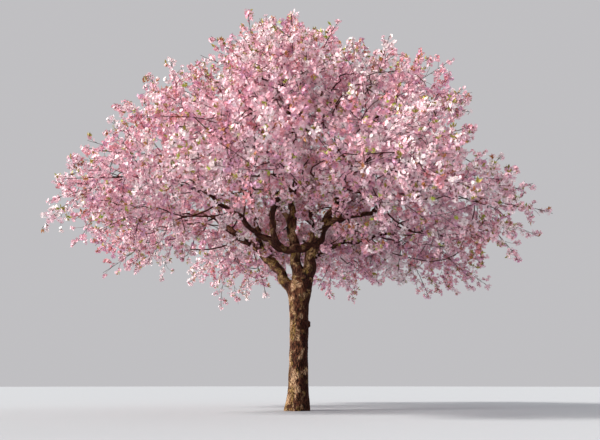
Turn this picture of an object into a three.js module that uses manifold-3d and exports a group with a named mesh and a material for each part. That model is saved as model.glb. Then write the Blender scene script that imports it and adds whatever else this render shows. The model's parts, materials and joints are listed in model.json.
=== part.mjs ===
// A flowering cherry tree in full blossom, as it stands in an avenue: a clear trunk that forks into
// leaning boughs, and a wide, low, rounded crown of blossom sprays carried on twigs.
// Units are millimetres, +Z is up and the origin is the middle of the flat cut under the trunk.
// +X is to the right and +Y is away, as the tree is seen from the middle of its avenue.
import * as THREE from "three";
import { mergeVertices } from "three/addons/utils/BufferGeometryUtils.js";
import Module from "manifold-3d";

const wasm = await Module();
wasm.setup();

// Trunk
const TRUNK_HEIGHT = 2680;
const GIRTH_RADIUS = 190;
const FORK_RADIUS = 214;
const TRUNK_LEAN = 80; // how far the fork stands to the right of the foot
const TRUNK_SWAY = 16;
const SWELL_FROM = 0.6; // share of the height where the trunk starts to widen into the fork
const ROUND_FROM = 0.9; // share of the height where the top starts to round over
const ROUND_DEPTH = 0.86; // how much of the section is gone at the very top
const ROOT_FLARE = 60;
const ROOT_FLARE_HEIGHT = 330;
const ROOT_FLARE_POWER = 1.4;
const ROOT_LOBES = 5;
const ROOT_LOBE_SHARE = 0.35; // how much of the flare comes and goes round the foot
const TRUNK_SIDES = 20;
const TRUNK_RINGS = 12;
const RING_CROWDING = 1.25; // above 1, the rings stand closer together near the ground

// Crown: three tiers of blossom masses round one axis
const CROWN_AXIS = [60, 40];
const CROWN_SEED = 4711;
const MASS_STRAY = 150; // how far a mass strays from its even place
const SKIRT = {
  name: "skirt_blossom",
  count: 8,
  turn: 0, // compass angle of the first mass
  radius: 3150,
  height: 4300,
  tilt: 300, // how much higher the front hangs than the middle, and the middle than the back
  reach: [1640, 1480, 1060], // half sizes outwards, sideways and upwards
  droop: 0.34, // how much a mass falls for each unit outwards
  climb: 16, // the slope at which its boughs arrive
};
const UPPER = {
  name: "upper_blossom",
  count: 6,
  turn: -20,
  radius: 2380,
  height: 5800,
  tilt: 60,
  reach: [1480, 1400, 1050],
  droop: 0.2,
  climb: 46,
};
const TOP = {
  name: "top_blossom",
  count: 3,
  turn: 30,
  radius: 1080,
  height: 7060,
  tilt: 0,
  reach: [1260, 1220, 880],
  droop: 0.12,
  climb: 66,
};
const ENTRY_INWARD = 0.52; // where a bough ends in its mass, in shares of the half sizes
const ENTRY_DOWN = 0.12;

// Boughs
const LIMB_SIDES = 7;
const LIMB_STEPS = 7;
const LIMB_CLEARANCE = 0.4; // between a limb and the one that carries it
const TIP_RADIUS = 30;
const TAPER_POWER = 0.8;
const COLLAR_SWELL = 0.3; // how much wider a limb is where it leaves its parent
const COLLAR_FADE = 10;
const SIDE_SWAY = 0.6; // sway across a limb's upright plane, against the sway within it
const BEADS_PER_LIMB = 48;

// Twigs and blossom sprays
const SPRAYS_PER_MASS = 24;
const SPRAY_TRIES = 14; // places drawn for each spray, of which the one with most room is used
const SPRAY_SIDES = 4;
const SPRAY_RADIUS = [230, 310];
const SPRAY_FORWARD = 1.75; // from the belly to the tip, in belly radii
const SPRAY_BACK = 1.1; // from the neck to the belly
const SPRAY_HEART = 0.42; // share of a mass's half size that is left without sprays
const SPRAY_SPREAD = 0.6; // below 1, more of the sprays are drawn near the outside
const STEM_SHARES = [0.25, 0.5, 0.75, 1];
const STEM_SIDES = 4;
const STEM_TIP_RADIUS = 17;
const STEM_SAG = 0.5;
const TWIG_RADIUS = 14;
const TWIG_ROOT = 0.9; // a twig's root against the fork that it leaves, so that it starts inside
const TWIG_THINNING = 0.82;
const TWIG_DETOUR = 0.3; // how much a long way back to the stem counts against a fork
const TWIG_LIFT = 0.08;
const MASS_GAP = 2;
const LIMB_GAP = 18;

const BARK = new THREE.MeshStandardMaterial({ color: 0x5b4334, roughness: 0.9, metalness: 0 });
const BOUGH_BARK = new THREE.MeshStandardMaterial({ color: 0x6e4f42, roughness: 0.85, metalness: 0 });
const BLOSSOM = new THREE.MeshStandardMaterial({ color: 0xe0aabb, roughness: 0.8, metalness: 0 });

const degrees = THREE.MathUtils.degToRad;
const between = THREE.MathUtils.lerp;
const upward = new THREE.Vector3(0, 0, 1);

// Draws from 0 to 1 that always come in the same order for one seed.
function seededDraws(seed) {
  let state = seed;
  return () => {
    state = (state * 48271) % 2147483647;
    return state / 2147483647;
  };
}

// The unit vector that points to a compass angle, counted from +X towards +Y, and climbs at an angle.
function heading(compass, climb) {
  const flat = Math.cos(degrees(climb));
  return new THREE.Vector3(
    flat * Math.cos(degrees(compass)),
    flat * Math.sin(degrees(compass)),
    Math.sin(degrees(climb)),
  );
}

// A closed solid from a geometry: seams merged, flattened triangles left out.
function solidFrom(geometry) {
  geometry.deleteAttribute("normal");
  geometry.deleteAttribute("uv");
  const merged = mergeVertices(geometry, 1e-3);
  const corners = [];
  for (let i = 0; i < merged.index.count; i += 3) {
    const [a, b, c] = [0, 1, 2].map((k) => merged.index.getX(i + k));
    if (a !== b && b !== c && c !== a) corners.push(a, b, c);
  }
  return new wasm.Manifold(
    new wasm.Mesh({
      numProp: 3,
      vertProperties: merged.attributes.position.array,
      triVerts: new Uint32Array(corners),
    }),
  );
}

function geometryFrom(solid) {
  const mesh = solid.getMesh();
  return new THREE.BufferGeometry()
    .setAttribute("position", new THREE.BufferAttribute(mesh.vertProperties, 3))
    .setIndex(new THREE.BufferAttribute(mesh.triVerts, 1));
}

// The biggest body of a solid: loose scraps and the skins of sealed hollows are dropped.
function mainBody(solid) {
  return solid.decompose().reduce((best, body) => (body.volume() > best.volume() ? body : best));
}

function namedMesh(name, solid, material) {
  const mesh = new THREE.Mesh(geometryFrom(solid), material);
  mesh.name = name;
  return mesh;
}

// A rod with flat ends that is bent along rings: each ring has a centre, a direction and a radius.
function bentRod(rings, sides) {
  const rod = new THREE.CylinderGeometry(1, 1, 1, sides, rings.length - 1);
  rod.rotateX(Math.PI / 2);
  const position = rod.attributes.position;
  const corner = new THREE.Vector3();
  const turn = new THREE.Quaternion();
  for (let i = 0; i < position.count; i++) {
    corner.fromBufferAttribute(position, i);
    const ring = rings[Math.round((corner.z + 0.5) * (rings.length - 1))];
    turn.setFromUnitVectors(upward, ring.direction);
    corner.setZ(0).multiplyScalar(ring.radius).applyQuaternion(turn).add(ring.centre);
    position.setXYZ(i, corner.x, corner.y, corner.z);
  }
  return solidFrom(rod);
}

// The middle of the trunk at a share of its height: it leans evenly, with a slight S-bend.
function trunkCentre(share) {
  return new THREE.Vector3(
    TRUNK_LEAN * share + TRUNK_SWAY * Math.sin(2 * Math.PI * share),
    TRUNK_SWAY * Math.sin(Math.PI * share),
    TRUNK_HEIGHT * share,
  );
}

// The trunk's radius: even up to the swell under the fork, then wider, then rounded over at the top.
function trunkRadius(share) {
  const swell = THREE.MathUtils.smoothstep(share, SWELL_FROM, ROUND_FROM);
  const body = between(GIRTH_RADIUS, FORK_RADIUS, swell);
  const round = Math.max(0, (share - ROUND_FROM) / (1 - ROUND_FROM));
  return body * Math.sqrt(1 - ROUND_DEPTH * round * round);
}

// The root flare dies away with height, and is fuller towards each of the main roots.
function rootFlare(angle, height) {
  const lobe = 1 + ROOT_LOBE_SHARE * Math.cos(ROOT_LOBES * angle);
  return ROOT_FLARE * lobe * Math.exp(-((height / ROOT_FLARE_HEIGHT) ** ROOT_FLARE_POWER));
}

// The trunk from the ground to its rounded fork, made larger by an extra thickness of skin.
function trunkSolid(skin) {
  const rod = new THREE.CylinderGeometry(1, 1, 1, TRUNK_SIDES, TRUNK_RINGS);
  rod.rotateX(Math.PI / 2);
  const position = rod.attributes.position;
  for (let i = 0; i < position.count; i++) {
    const level = position.getZ(i) + 0.5;
    const share = level ** RING_CROWDING;
    const [x, y] = [position.getX(i), position.getY(i)];
    const centre = trunkCentre(share);
    const radius = trunkRadius(share) + rootFlare(Math.atan2(y, x), centre.z) + skin;
    const lift = level === 1 ? skin : 0;
    position.setXYZ(i, centre.x + x * radius, centre.y + y * radius, centre.z + lift);
  }
  return solidFrom(rod);
}

// The places of all the masses of blossom, tier by tier. Each keeps its own seed for its twigs.
function massPlaces() {
  const draws = seededDraws(CROWN_SEED);
  const stray = () => MASS_STRAY * (2 * draws() - 1);
  const places = [];
  for (const tier of [SKIRT, UPPER, TOP]) {
    for (let i = 0; i < tier.count; i++) {
      const compass = tier.turn + (360 * i) / tier.count;
      const out = heading(compass, 0);
      const height = tier.height - tier.tilt * out.y;
      const centre = out
        .clone()
        .multiplyScalar(tier.radius + stray())
        .add(new THREE.Vector3(CROWN_AXIS[0] + stray(), CROWN_AXIS[1] + stray(), height + stray()));
      const seed = CROWN_SEED + places.length + 1;
      places.push({ ...tier, name: `${tier.name}_${i + 1}`, compass, out, centre, seed });
    }
  }
  return places;
}

// Where a bough ends: on the trunk's side of its mass and a little under its middle.
function massEntry({ centre, out, reach }) {
  const entry = centre.clone().addScaledVector(out, -ENTRY_INWARD * reach[0]);
  return entry.addScaledVector(upward, -ENTRY_DOWN * reach[2]);
}

// A limb leaves its start and reaches its end at given headings, and sways a little on the way.
class LimbLine extends THREE.Curve {
  constructor(from, to, leave, arrive, sway, waves) {
    super();
    const chord = new THREE.Vector3().subVectors(to, from);
    const pull = chord.length() / 3;
    this.bend = new THREE.CubicBezierCurve3(
      from,
      from.clone().addScaledVector(leave, pull),
      to.clone().addScaledVector(arrive, -pull),
      to,
    );
    this.sway = sway;
    this.waves = waves;
    this.side = chord.clone().cross(upward).normalize();
    this.over = this.side.clone().cross(chord).normalize();
  }

  getPoint(t, target = new THREE.Vector3()) {
    const swing = this.sway * Math.sin(Math.PI * t) * Math.sin(2 * Math.PI * this.waves * t);
    this.bend.getPoint(t, target);
    return target.addScaledVector(this.side, SIDE_SWAY * swing).addScaledVector(this.over, swing);
  }
}

// Each limb: its name, what carries it and at which share of that, the compass angle and slope at
// which it leaves, its radius there, its sway and the number of waves, and the mass at its end.
const LIMBS = [
  ["right_leader", "trunk", 0.86, -4, 58, 142, 110, 1.2, "upper_blossom_1"],
  ["left_leader", "trunk", 0.92, 168, 82, 120, -110, 0.8, "top_blossom_2"],
  ["left_bough", "trunk", 0.84, 184, 44, 122, 80, 1, "skirt_blossom_5"],
  ["back_bough", "trunk", 0.88, 84, 62, 112, 80, 1.1, "skirt_blossom_3"],
  ["cross_bough", "right_leader", 0.32, 190, -44, 100, -90, 0.9, "skirt_blossom_6"],
  ["reach_bough", "right_leader", 0.36, -2, 46, 74, 40, 1.5, "skirt_blossom_1"],
  ["near_right_bough", "right_leader", 0.56, -60, 22, 62, 70, 1.2, "skirt_blossom_8"],
  ["near_bough", "cross_bough", 0.34, 262, 34, 64, 60, 1.1, "skirt_blossom_7"],
  ["far_right_bough", "back_bough", 0.36, 22, 30, 62, 60, 1, "skirt_blossom_2"],
  ["far_left_bough", "left_bough", 0.28, 128, 40, 76, -70, 1.1, "skirt_blossom_4"],
  ["right_riser", "reach_bough", 0.24, 30, 62, 56, 60, 1, "upper_blossom_2"],
  ["back_riser", "back_bough", 0.46, 98, 66, 64, -60, 1, "upper_blossom_3"],
  ["left_riser", "left_leader", 0.3, 164, 48, 66, 60, 1.2, "upper_blossom_4"],
  ["near_left_riser", "left_bough", 0.4, 226, 66, 60, 60, 1, "upper_blossom_5"],
  ["near_riser", "near_bough", 0.22, 284, 66, 48, -50, 1, "upper_blossom_6"],
  ["top_right_riser", "right_leader", 0.66, 40, 74, 60, 55, 1.2, "top_blossom_1"],
  ["top_near_riser", "left_leader", 0.44, 276, 62, 58, -55, 1, "top_blossom_3"],
];

// Each limb's line and taper. A limb starts on the middle of the one that carries it.
function limbLines(places) {
  const lines = new Map();
  for (const [name, parent, share, compass, slope, root, sway, waves, mass] of LIMBS) {
    const place = places.find((candidate) => candidate.name === mass);
    const from = parent === "trunk" ? trunkCentre(share) : lines.get(parent).line.getPoint(share);
    const arrive = heading(place.compass, place.climb);
    const line = new LimbLine(from, massEntry(place), heading(compass, slope), arrive, sway, waves);
    const collar = (t) => COLLAR_SWELL * root * Math.exp(-COLLAR_FADE * t);
    const radiusAt = (t) => between(root, TIP_RADIUS, t ** TAPER_POWER) + collar(t);
    lines.set(name, { line, radiusAt, place });
  }
  return lines;
}

// A limb from root to tip, made larger by an extra thickness of skin, also past both ends.
function limbSolid({ line, radiusAt }, skin) {
  const rings = [];
  for (let i = 0; i <= LIMB_STEPS; i++) {
    const t = i / LIMB_STEPS;
    const direction = line.getTangent(t);
    const centre = line.getPoint(t);
    if (t === 0) centre.addScaledVector(direction, -skin);
    if (t === 1) centre.addScaledVector(direction, skin);
    rings.push({ centre, direction, radius: radiusAt(t) + skin });
  }
  return bentRod(rings, LIMB_SIDES);
}

// The limbs as solids. Each is cut clear of those that were made before it, so that it ends just
// short of the bark of the one that carries it.
function limbSolids(lines) {
  const made = new Map([["trunk", mainBody(trunkSolid(0))]]);
  let taken = trunkSolid(LIMB_CLEARANCE);
  for (const [name, limb] of lines) {
    made.set(name, mainBody(limbSolid(limb, 0).subtract(taken)));
    taken = taken.add(limbSolid(limb, LIMB_CLEARANCE));
  }
  return made;
}

// Points close together along every limb, each with the limb's radius there.
function limbBeads(lines) {
  const beads = [];
  for (const { line, radiusAt } of lines.values()) {
    for (let i = 0; i <= BEADS_PER_LIMB; i++) {
      const t = i / BEADS_PER_LIMB;
      beads.push({ point: line.getPoint(t), radius: radiusAt(t) });
    }
  }
  return beads;
}

function clearOfLimbs(start, end, reach, beads) {
  const way = new THREE.Line3(start, end);
  const nearest = new THREE.Vector3();
  return beads.every(({ point, radius }) => {
    way.closestPointToPoint(point, true, nearest);
    return nearest.distanceTo(point) > reach + radius + LIMB_GAP;
  });
}

// Whether a ball stays on a mass's own side of the planes half-way to all the other masses.
function inOwnSpace(point, reach, place, places) {
  return places.every((other) => {
    if (other === place) return true;
    const across = new THREE.Vector3().subVectors(other.centre, place.centre);
    const middle = new THREE.Vector3().addVectors(other.centre, place.centre).multiplyScalar(0.5);
    const past = across.normalize().dot(middle.subVectors(point, middle));
    return past < -(reach + MASS_GAP);
  });
}

// A place in a mass, drawn from the shell between its bare heart and its full reach.
function drawnPlace({ centre, out, reach, droop }, draws) {
  const angle = 2 * Math.PI * draws();
  const up = 2 * draws() - 1;
  const flat = Math.sqrt(1 - up * up);
  const share = between(SPRAY_HEART, 1, draws() ** SPRAY_SPREAD);
  const outwards = reach[0] * share * flat * Math.cos(angle);
  const sideways = reach[1] * share * flat * Math.sin(angle);
  const upwards = reach[2] * share * up - droop * outwards;
  const side = new THREE.Vector3().crossVectors(upward, out);
  return centre
    .clone()
    .addScaledVector(out, outwards)
    .addScaledVector(side, sideways)
    .addScaledVector(upward, upwards);
}

// The sprays' places in a mass: each is the roomiest of several drawn, and the nearest to the
// stem's foot come first, so that twigs can fork from those already grown.
function sprayPlaces(place, places, foot, draws) {
  const chosen = [];
  for (let i = 0; i < SPRAYS_PER_MASS; i++) {
    const radius = between(...SPRAY_RADIUS, draws());
    let best = null;
    for (let k = 0; k < SPRAY_TRIES; k++) {
      const belly = drawnPlace(place, draws);
      const room = Math.min(Number.MAX_VALUE, ...chosen.map((spray) => spray.belly.distanceTo(belly)));
      if (inOwnSpace(belly, radius, place, places) && (!best || room > best.room)) {
        best = { belly, radius, room };
      }
    }
    if (best) chosen.push(best);
  }
  return chosen.sort((a, b) => a.belly.distanceTo(foot) - b.belly.distanceTo(foot));
}

// The stem of a mass carries on from its bough, just clear of the tip, and bends up to its middle.
function stemLine({ line, place }) {
  const direction = line.getTangent(1);
  const foot = line.getPoint(1).addScaledVector(direction, LIMB_CLEARANCE);
  const pull = foot.distanceTo(place.centre) / 3;
  return new THREE.CubicBezierCurve3(
    foot,
    foot.clone().addScaledVector(direction, pull),
    place.centre.clone().addScaledVector(upward, -STEM_SAG * pull),
    place.centre,
  );
}

// A mass of blossom: the stem, twigs that fork from it and from each other by the shortest way,
// and a spray of blossom fused on the end of each twig.
function massSolid(limb, places, beads) {
  const { place } = limb;
  const stem = stemLine(limb);
  const foot = stem.getPoint(0);
  const stemRings = [0, ...STEM_SHARES].map((t) => ({
    centre: stem.getPoint(t),
    direction: stem.getTangent(t),
    radius: between(TIP_RADIUS, STEM_TIP_RADIUS, t),
  }));
  const pieces = [bentRod(stemRings, STEM_SIDES)];
  const forks = STEM_SHARES.map((t) => {
    const point = stem.getPoint(t);
    return { point, way: point.distanceTo(foot), radius: TWIG_RADIUS };
  });
  for (const { belly, radius } of sprayPlaces(place, places, foot, seededDraws(place.seed))) {
    const cost = (fork) => fork.point.distanceTo(belly) + TWIG_DETOUR * fork.way;
    const fork = forks.reduce((best, next) => (cost(next) < cost(best) ? next : best));
    const onward = new THREE.Vector3().subVectors(belly, fork.point).normalize();
    const outward = new THREE.Vector3().subVectors(belly, place.centre).normalize();
    const aim = onward.add(outward).addScaledVector(upward, TWIG_LIFT).normalize();
    const neck = belly.clone().addScaledVector(aim, -SPRAY_BACK * radius);
    const tip = belly.clone().addScaledVector(aim, SPRAY_FORWARD * radius);
    const fits =
      inOwnSpace(tip, 0, place, places) &&
      inOwnSpace(neck, fork.radius, place, places) &&
      clearOfLimbs(neck, tip, radius, beads) &&
      clearOfLimbs(fork.point, neck, fork.radius, beads);
    if (!fits) continue;
    const twigWay = new THREE.Vector3().subVectors(neck, fork.point).normalize();
    const twigTip = fork.radius * TWIG_THINNING;
    const rings = [
      { centre: fork.point, direction: twigWay, radius: fork.radius * TWIG_ROOT },
      { centre: neck, direction: aim, radius: twigTip },
      { centre: belly, direction: aim, radius },
      { centre: tip, direction: aim, radius: 0 },
    ];
    pieces.push(bentRod(rings, SPRAY_SIDES));
    const way = fork.way + fork.point.distanceTo(neck);
    forks.push({ point: neck, way, radius: twigTip });
    forks.push({ point: belly, way: way + neck.distanceTo(belly), radius: twigTip * TWIG_THINNING });
  }
  return mainBody(wasm.Manifold.union(pieces));
}

function buildTree() {
  const tree = new THREE.Group();
  const places = massPlaces();
  const lines = limbLines(places);
  for (const [name, solid] of limbSolids(lines)) {
    tree.add(namedMesh(name, solid, name === "trunk" ? BARK : BOUGH_BARK));
  }
  const beads = limbBeads(lines);
  for (const limb of lines.values()) {
    tree.add(namedMesh(limb.place.name, massSolid(limb, places, beads), BLOSSOM));
  }
  return tree;
}

export default buildTree();
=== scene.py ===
"""The looks of a flowering cherry tree in full blossom.

The trunk and boughs get bark with its relief. Each mass of blossom becomes the twigs, flowers and young
leaves that grow on from its bough by the same seeded rule as the solids, carried to finer twigs.
Metres, +Z up, origin in the middle of the flat cut under the trunk. +X is to the right and +Y away, as
the tree is seen from the middle of its avenue.
"""

import json
import logging
import math
from dataclasses import KW_ONLY, dataclass, field
from enum import Enum

import bpy
import numpy as np
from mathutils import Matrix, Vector

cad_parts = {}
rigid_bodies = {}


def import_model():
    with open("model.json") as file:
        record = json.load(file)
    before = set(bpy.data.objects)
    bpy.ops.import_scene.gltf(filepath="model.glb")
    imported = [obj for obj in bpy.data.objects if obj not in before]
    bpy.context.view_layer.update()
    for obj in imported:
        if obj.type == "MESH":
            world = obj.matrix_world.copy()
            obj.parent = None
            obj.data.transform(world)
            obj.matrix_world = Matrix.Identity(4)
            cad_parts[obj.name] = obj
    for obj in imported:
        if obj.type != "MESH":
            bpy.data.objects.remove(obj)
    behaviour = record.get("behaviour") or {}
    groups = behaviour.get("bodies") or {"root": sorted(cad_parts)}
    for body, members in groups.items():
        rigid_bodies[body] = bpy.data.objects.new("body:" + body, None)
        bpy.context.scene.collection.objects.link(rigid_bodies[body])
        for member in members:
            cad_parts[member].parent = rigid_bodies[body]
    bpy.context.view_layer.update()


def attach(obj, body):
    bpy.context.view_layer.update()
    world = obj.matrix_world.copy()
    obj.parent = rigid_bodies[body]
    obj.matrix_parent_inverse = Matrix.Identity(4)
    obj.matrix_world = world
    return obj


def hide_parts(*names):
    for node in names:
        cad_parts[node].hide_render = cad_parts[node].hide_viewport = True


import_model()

Array = np.ndarray
Colour = tuple[float, float, float, float]
Triple = tuple[float, float, float]
Pair = tuple[float, float]

BODY = "root"
UPWARD = np.array([0.0, 0.0, 1.0])
FULL_TURN = 2 * math.pi
GOLDEN_TURN = math.pi * (3 - math.sqrt(5))
CUBE_CORNERS = np.array([[x, y, z] for x in (0, 1) for y in (0, 1) for z in (0, 1)])
SMALL_STEP = 1e-4
JOINT_BEADS = 150
AXIS_POINTS = 10
NECK_POINT = 5


def unit(vectors: Array) -> Array:
    """Vectors made one long.

    Args:
        vectors: one vector, or an array of them along the last axis.

    Returns:
        The same directions at length one.
    """
    return vectors / np.maximum(np.linalg.norm(vectors, axis=-1, keepdims=True), 1e-12)


def heading(compass: float, climb: float) -> Array:
    """The unit vector that points to a compass angle and climbs at an angle.

    Args:
        compass: degrees from +X towards +Y.
        climb: degrees above the level.

    Returns:
        The direction.
    """
    turn, rise = math.radians(compass), math.radians(climb)
    return np.array([math.cos(rise) * math.cos(turn), math.cos(rise) * math.sin(turn), math.sin(rise)])


def between(low: float, high: float, share: Array | float) -> Array | float:
    """The value at a share of the way from low to high."""
    return low + (high - low) * share


def eased(values: Array | float, low: float, high: float) -> Array | float:
    """A smooth step: 0 up to low, 1 from high on, with a level start and end.

    Args:
        values: where the step is wanted.
        low: where it starts.
        high: where it ends.

    Returns:
        The step's height, 3 t t - 2 t t t of the share t between the two.
    """
    share = np.clip((values - low) / (high - low), 0, 1)
    return share * share * (3 - 2 * share)


def tint(red: int, green: int, blue: int) -> Colour:
    """A colour given as it looks on a screen, 0 to 255, as the shader's linear colour.

    Args:
        red: red on the screen.
        green: green on the screen.
        blue: blue on the screen.

    Returns:
        Linear red, green and blue, and full cover.
    """
    linear = [((c / 255 + 0.055) / 1.055) ** 2.4 if c > 10 else c / 255 / 12.92 for c in (red, green, blue)]
    return (*linear, 1.0)


class Draws:
    """Draws from 0 to 1, in the same order for one seed. What is added to a seed keeps rows apart."""

    def __init__(self, seed: int) -> None:
        """Starts the row of draws at a seed."""
        self.state = seed

    def next(self) -> float:
        """The next draw."""
        self.state = self.state * 48271 % 2147483647
        return self.state / 2147483647


class Roughness:
    """Smooth noise in three dimensions, from gradients at the corners of unit cells."""

    def __init__(self, seed: int) -> None:
        """Draws the order of the cells and the gradient at each corner."""
        rng = np.random.default_rng(seed)
        self.order = rng.permutation(256)
        self.gradients = unit(rng.normal(size=(256, 3)))

    def at(self, points: Array) -> Array:
        """Noise from about -1 to 1.

        Each corner of the cell that holds a point gives its gradient times the way to the point, and
        the eight are mixed by eased shares.

        Args:
            points: (n, 3), in cells.

        Returns:
            (n,) heights.
        """
        cell = np.floor(points).astype(np.int64)
        inside = points - cell
        ease = inside**3 * (inside * (inside * 6 - 15) + 10)
        total = np.zeros(len(points))
        for corner in CUBE_CORNERS:
            x, y, z = (cell + corner).T
            index = self.order[(self.order[(self.order[x & 255] + y) & 255] + z) & 255]
            ramp = np.einsum("ij,ij->i", self.gradients[index], inside - corner)
            total += ramp * np.prod(np.where(corner, ease, 1 - ease), axis=1)
        return total * 1.6

    def layered(self, points: Array, layers: int) -> Array:
        """Noise with finer layers added, each half as high and half as wide as the one before.

        Args:
            points: (n, 3), in cells of the widest layer.
            layers: how many layers.

        Returns:
            (n,) heights.
        """
        return sum(self.at(points * 2**k + 7.3 * k) / 2**k for k in range(layers))


def make_piece(name: str, points: Array, triangles: Array, materials: list, smooth: bool) -> bpy.types.Object:
    """An object at the origin, from arrays.

    Args:
        name: the piece's name.
        points: (n, 3) corners.
        triangles: (m, 3) corner numbers, counter-clockwise from outside.
        materials: the piece's materials, in the order of its slots.
        smooth: whether the faces are shaded as one round surface.

    Returns:
        The object, linked to the scene.
    """
    mesh = bpy.data.meshes.new(name)
    mesh.vertices.add(len(points))
    mesh.vertices.foreach_set("co", points.astype(np.float32).ravel())
    mesh.loops.add(triangles.size)
    mesh.loops.foreach_set("vertex_index", triangles.astype(np.int32).ravel())
    mesh.polygons.add(len(triangles))
    mesh.polygons.foreach_set("loop_start", np.arange(0, triangles.size, 3, dtype=np.int32))
    mesh.polygons.foreach_set("use_smooth", np.full(len(triangles), smooth))
    for material in materials:
        mesh.materials.append(material)
    mesh.update(calc_edges=True)
    piece = bpy.data.objects.new(name, mesh)
    bpy.context.scene.collection.objects.link(piece)
    return piece


def store(piece: bpy.types.Object, name: str, values: Array) -> None:
    """Keeps a value for each corner of a piece, for its material to read.

    Args:
        piece: the piece.
        name: the attribute's name.
        values: (n,) numbers or (n, 3) vectors.
    """
    kind, key = ("FLOAT", "value") if values.ndim == 1 else ("FLOAT_VECTOR", "vector")
    attribute = piece.data.attributes.new(name, kind, "POINT")
    attribute.data.foreach_set(key, values.astype(np.float32).ravel())


def seat(piece: bpy.types.Object, node: str) -> None:
    """Makes a piece stand for a node of the solids, and reports it.

    Args:
        piece: the finished piece.
        node: the node that it replaces.
    """
    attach(piece, BODY)
    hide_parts(node)
    logging.info("%s: %d triangles", piece.name, len(piece.data.polygons))


# Finishes


class Finish:
    """What every finish shares: a material with one shader, and short ways to add nodes to it."""

    def start(self, name: str) -> None:
        """Makes the material and finds its shader."""
        self.material = bpy.data.materials.new(name)
        self.material.use_nodes = True
        self.tree = self.material.node_tree
        self.shader = self.tree.nodes["Principled BSDF"]

    def node(self, kind: str, **settings: object) -> bpy.types.Node:
        """Adds a node.

        Args:
            kind: the node's type without its ShaderNode prefix.
            settings: its properties.

        Returns:
            The node.
        """
        made = self.tree.nodes.new("ShaderNode" + kind)
        for key, value in settings.items():
            setattr(made, key, value)
        return made

    def join(self, source: bpy.types.NodeSocket, target: bpy.types.NodeSocket) -> None:
        """Links two sockets."""
        self.tree.links.new(source, target)

    def attribute(self, name: str) -> bpy.types.Node:
        """The node that reads one of the piece's own attributes."""
        return self.node("Attribute", attribute_name=name)

    def grain(self, scale: Triple) -> bpy.types.NodeSocket:
        """The bark's own directions, stretched: across, across and along the limb.

        Args:
            scale: cells in a metre each way.

        Returns:
            The stretched vector.
        """
        stretch = self.node("Mapping")
        stretch.inputs["Scale"].default_value = scale
        self.join(self.attribute("grain").outputs["Vector"], stretch.inputs["Vector"])
        return stretch.outputs["Vector"]

    def noise(self, vector: bpy.types.NodeSocket, detail: float, twist: float = 0.0) -> bpy.types.NodeSocket:
        """Noise of one cell a unit.

        Args:
            vector: where it is read.
            detail: how many finer layers it has.
            twist: how much it is distorted.

        Returns:
            Its height, about 0.5.
        """
        made = self.node("TexNoise")
        made.inputs["Scale"].default_value = 1.0
        made.inputs["Detail"].default_value = detail
        made.inputs["Distortion"].default_value = twist
        self.join(vector, made.inputs["Vector"])
        return made.outputs["Fac"]

    def ramp(self, value: bpy.types.NodeSocket, stops: list[tuple[float, Colour]]) -> bpy.types.NodeSocket:
        """Turns a value into a colour.

        Args:
            value: from 0 to 1.
            stops: places and their colours, in order.

        Returns:
            The colour.
        """
        made = self.node("ValToRGB")
        stack = made.color_ramp.elements
        while len(stack) < len(stops):
            stack.new(0.5)
        for element, (place, colour) in zip(stack, stops):
            element.position = place
            element.color = colour
        self.join(value, made.inputs["Fac"])
        return made.outputs["Color"]

    def ranged(self, value: bpy.types.NodeSocket, low: float, high: float, to: Pair = (0.0, 1.0)) -> object:
        """Spreads a value from low to high over another range.

        Args:
            value: the value.
            low: what becomes the first number of the range.
            high: what becomes the second.
            to: the range.

        Returns:
            The new value.
        """
        made = self.node("MapRange")
        made.inputs["From Min"].default_value = low
        made.inputs["From Max"].default_value = high
        made.inputs["To Min"].default_value = to[0]
        made.inputs["To Max"].default_value = to[1]
        self.join(value, made.inputs["Value"])
        return made.outputs["Result"]

    def combined(self, first: object, second: object, operation: str = "MULTIPLY") -> bpy.types.NodeSocket:
        """Combines two values by an arithmetic operation: their product, where none is named.

        Args:
            first: a socket.
            second: a socket or a number.
            operation: the name of the operation.

        Returns:
            The result.
        """
        made = self.node("Math", operation=operation)
        self.join(first, made.inputs[0])
        if isinstance(second, (int, float)):
            made.inputs[1].default_value = second
        else:
            self.join(second, made.inputs[1])
        return made.outputs["Value"]

    def mixed(self, share: object, first: object, second: object, blend: str = "MIX") -> bpy.types.NodeSocket:
        """Mixes two colours.

        Args:
            share: a socket or a number, how much of the second.
            first: a socket or a colour.
            second: a socket or a colour.
            blend: the way of mixing.

        Returns:
            The mixed colour.
        """
        made = self.node("Mix", data_type="RGBA", blend_type=blend)
        for key, value in ((0, share), (6, first), (7, second)):
            if isinstance(value, bpy.types.NodeSocket):
                self.join(value, made.inputs[key])
            else:
                made.inputs[key].default_value = value
        return made.outputs[2]


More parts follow.
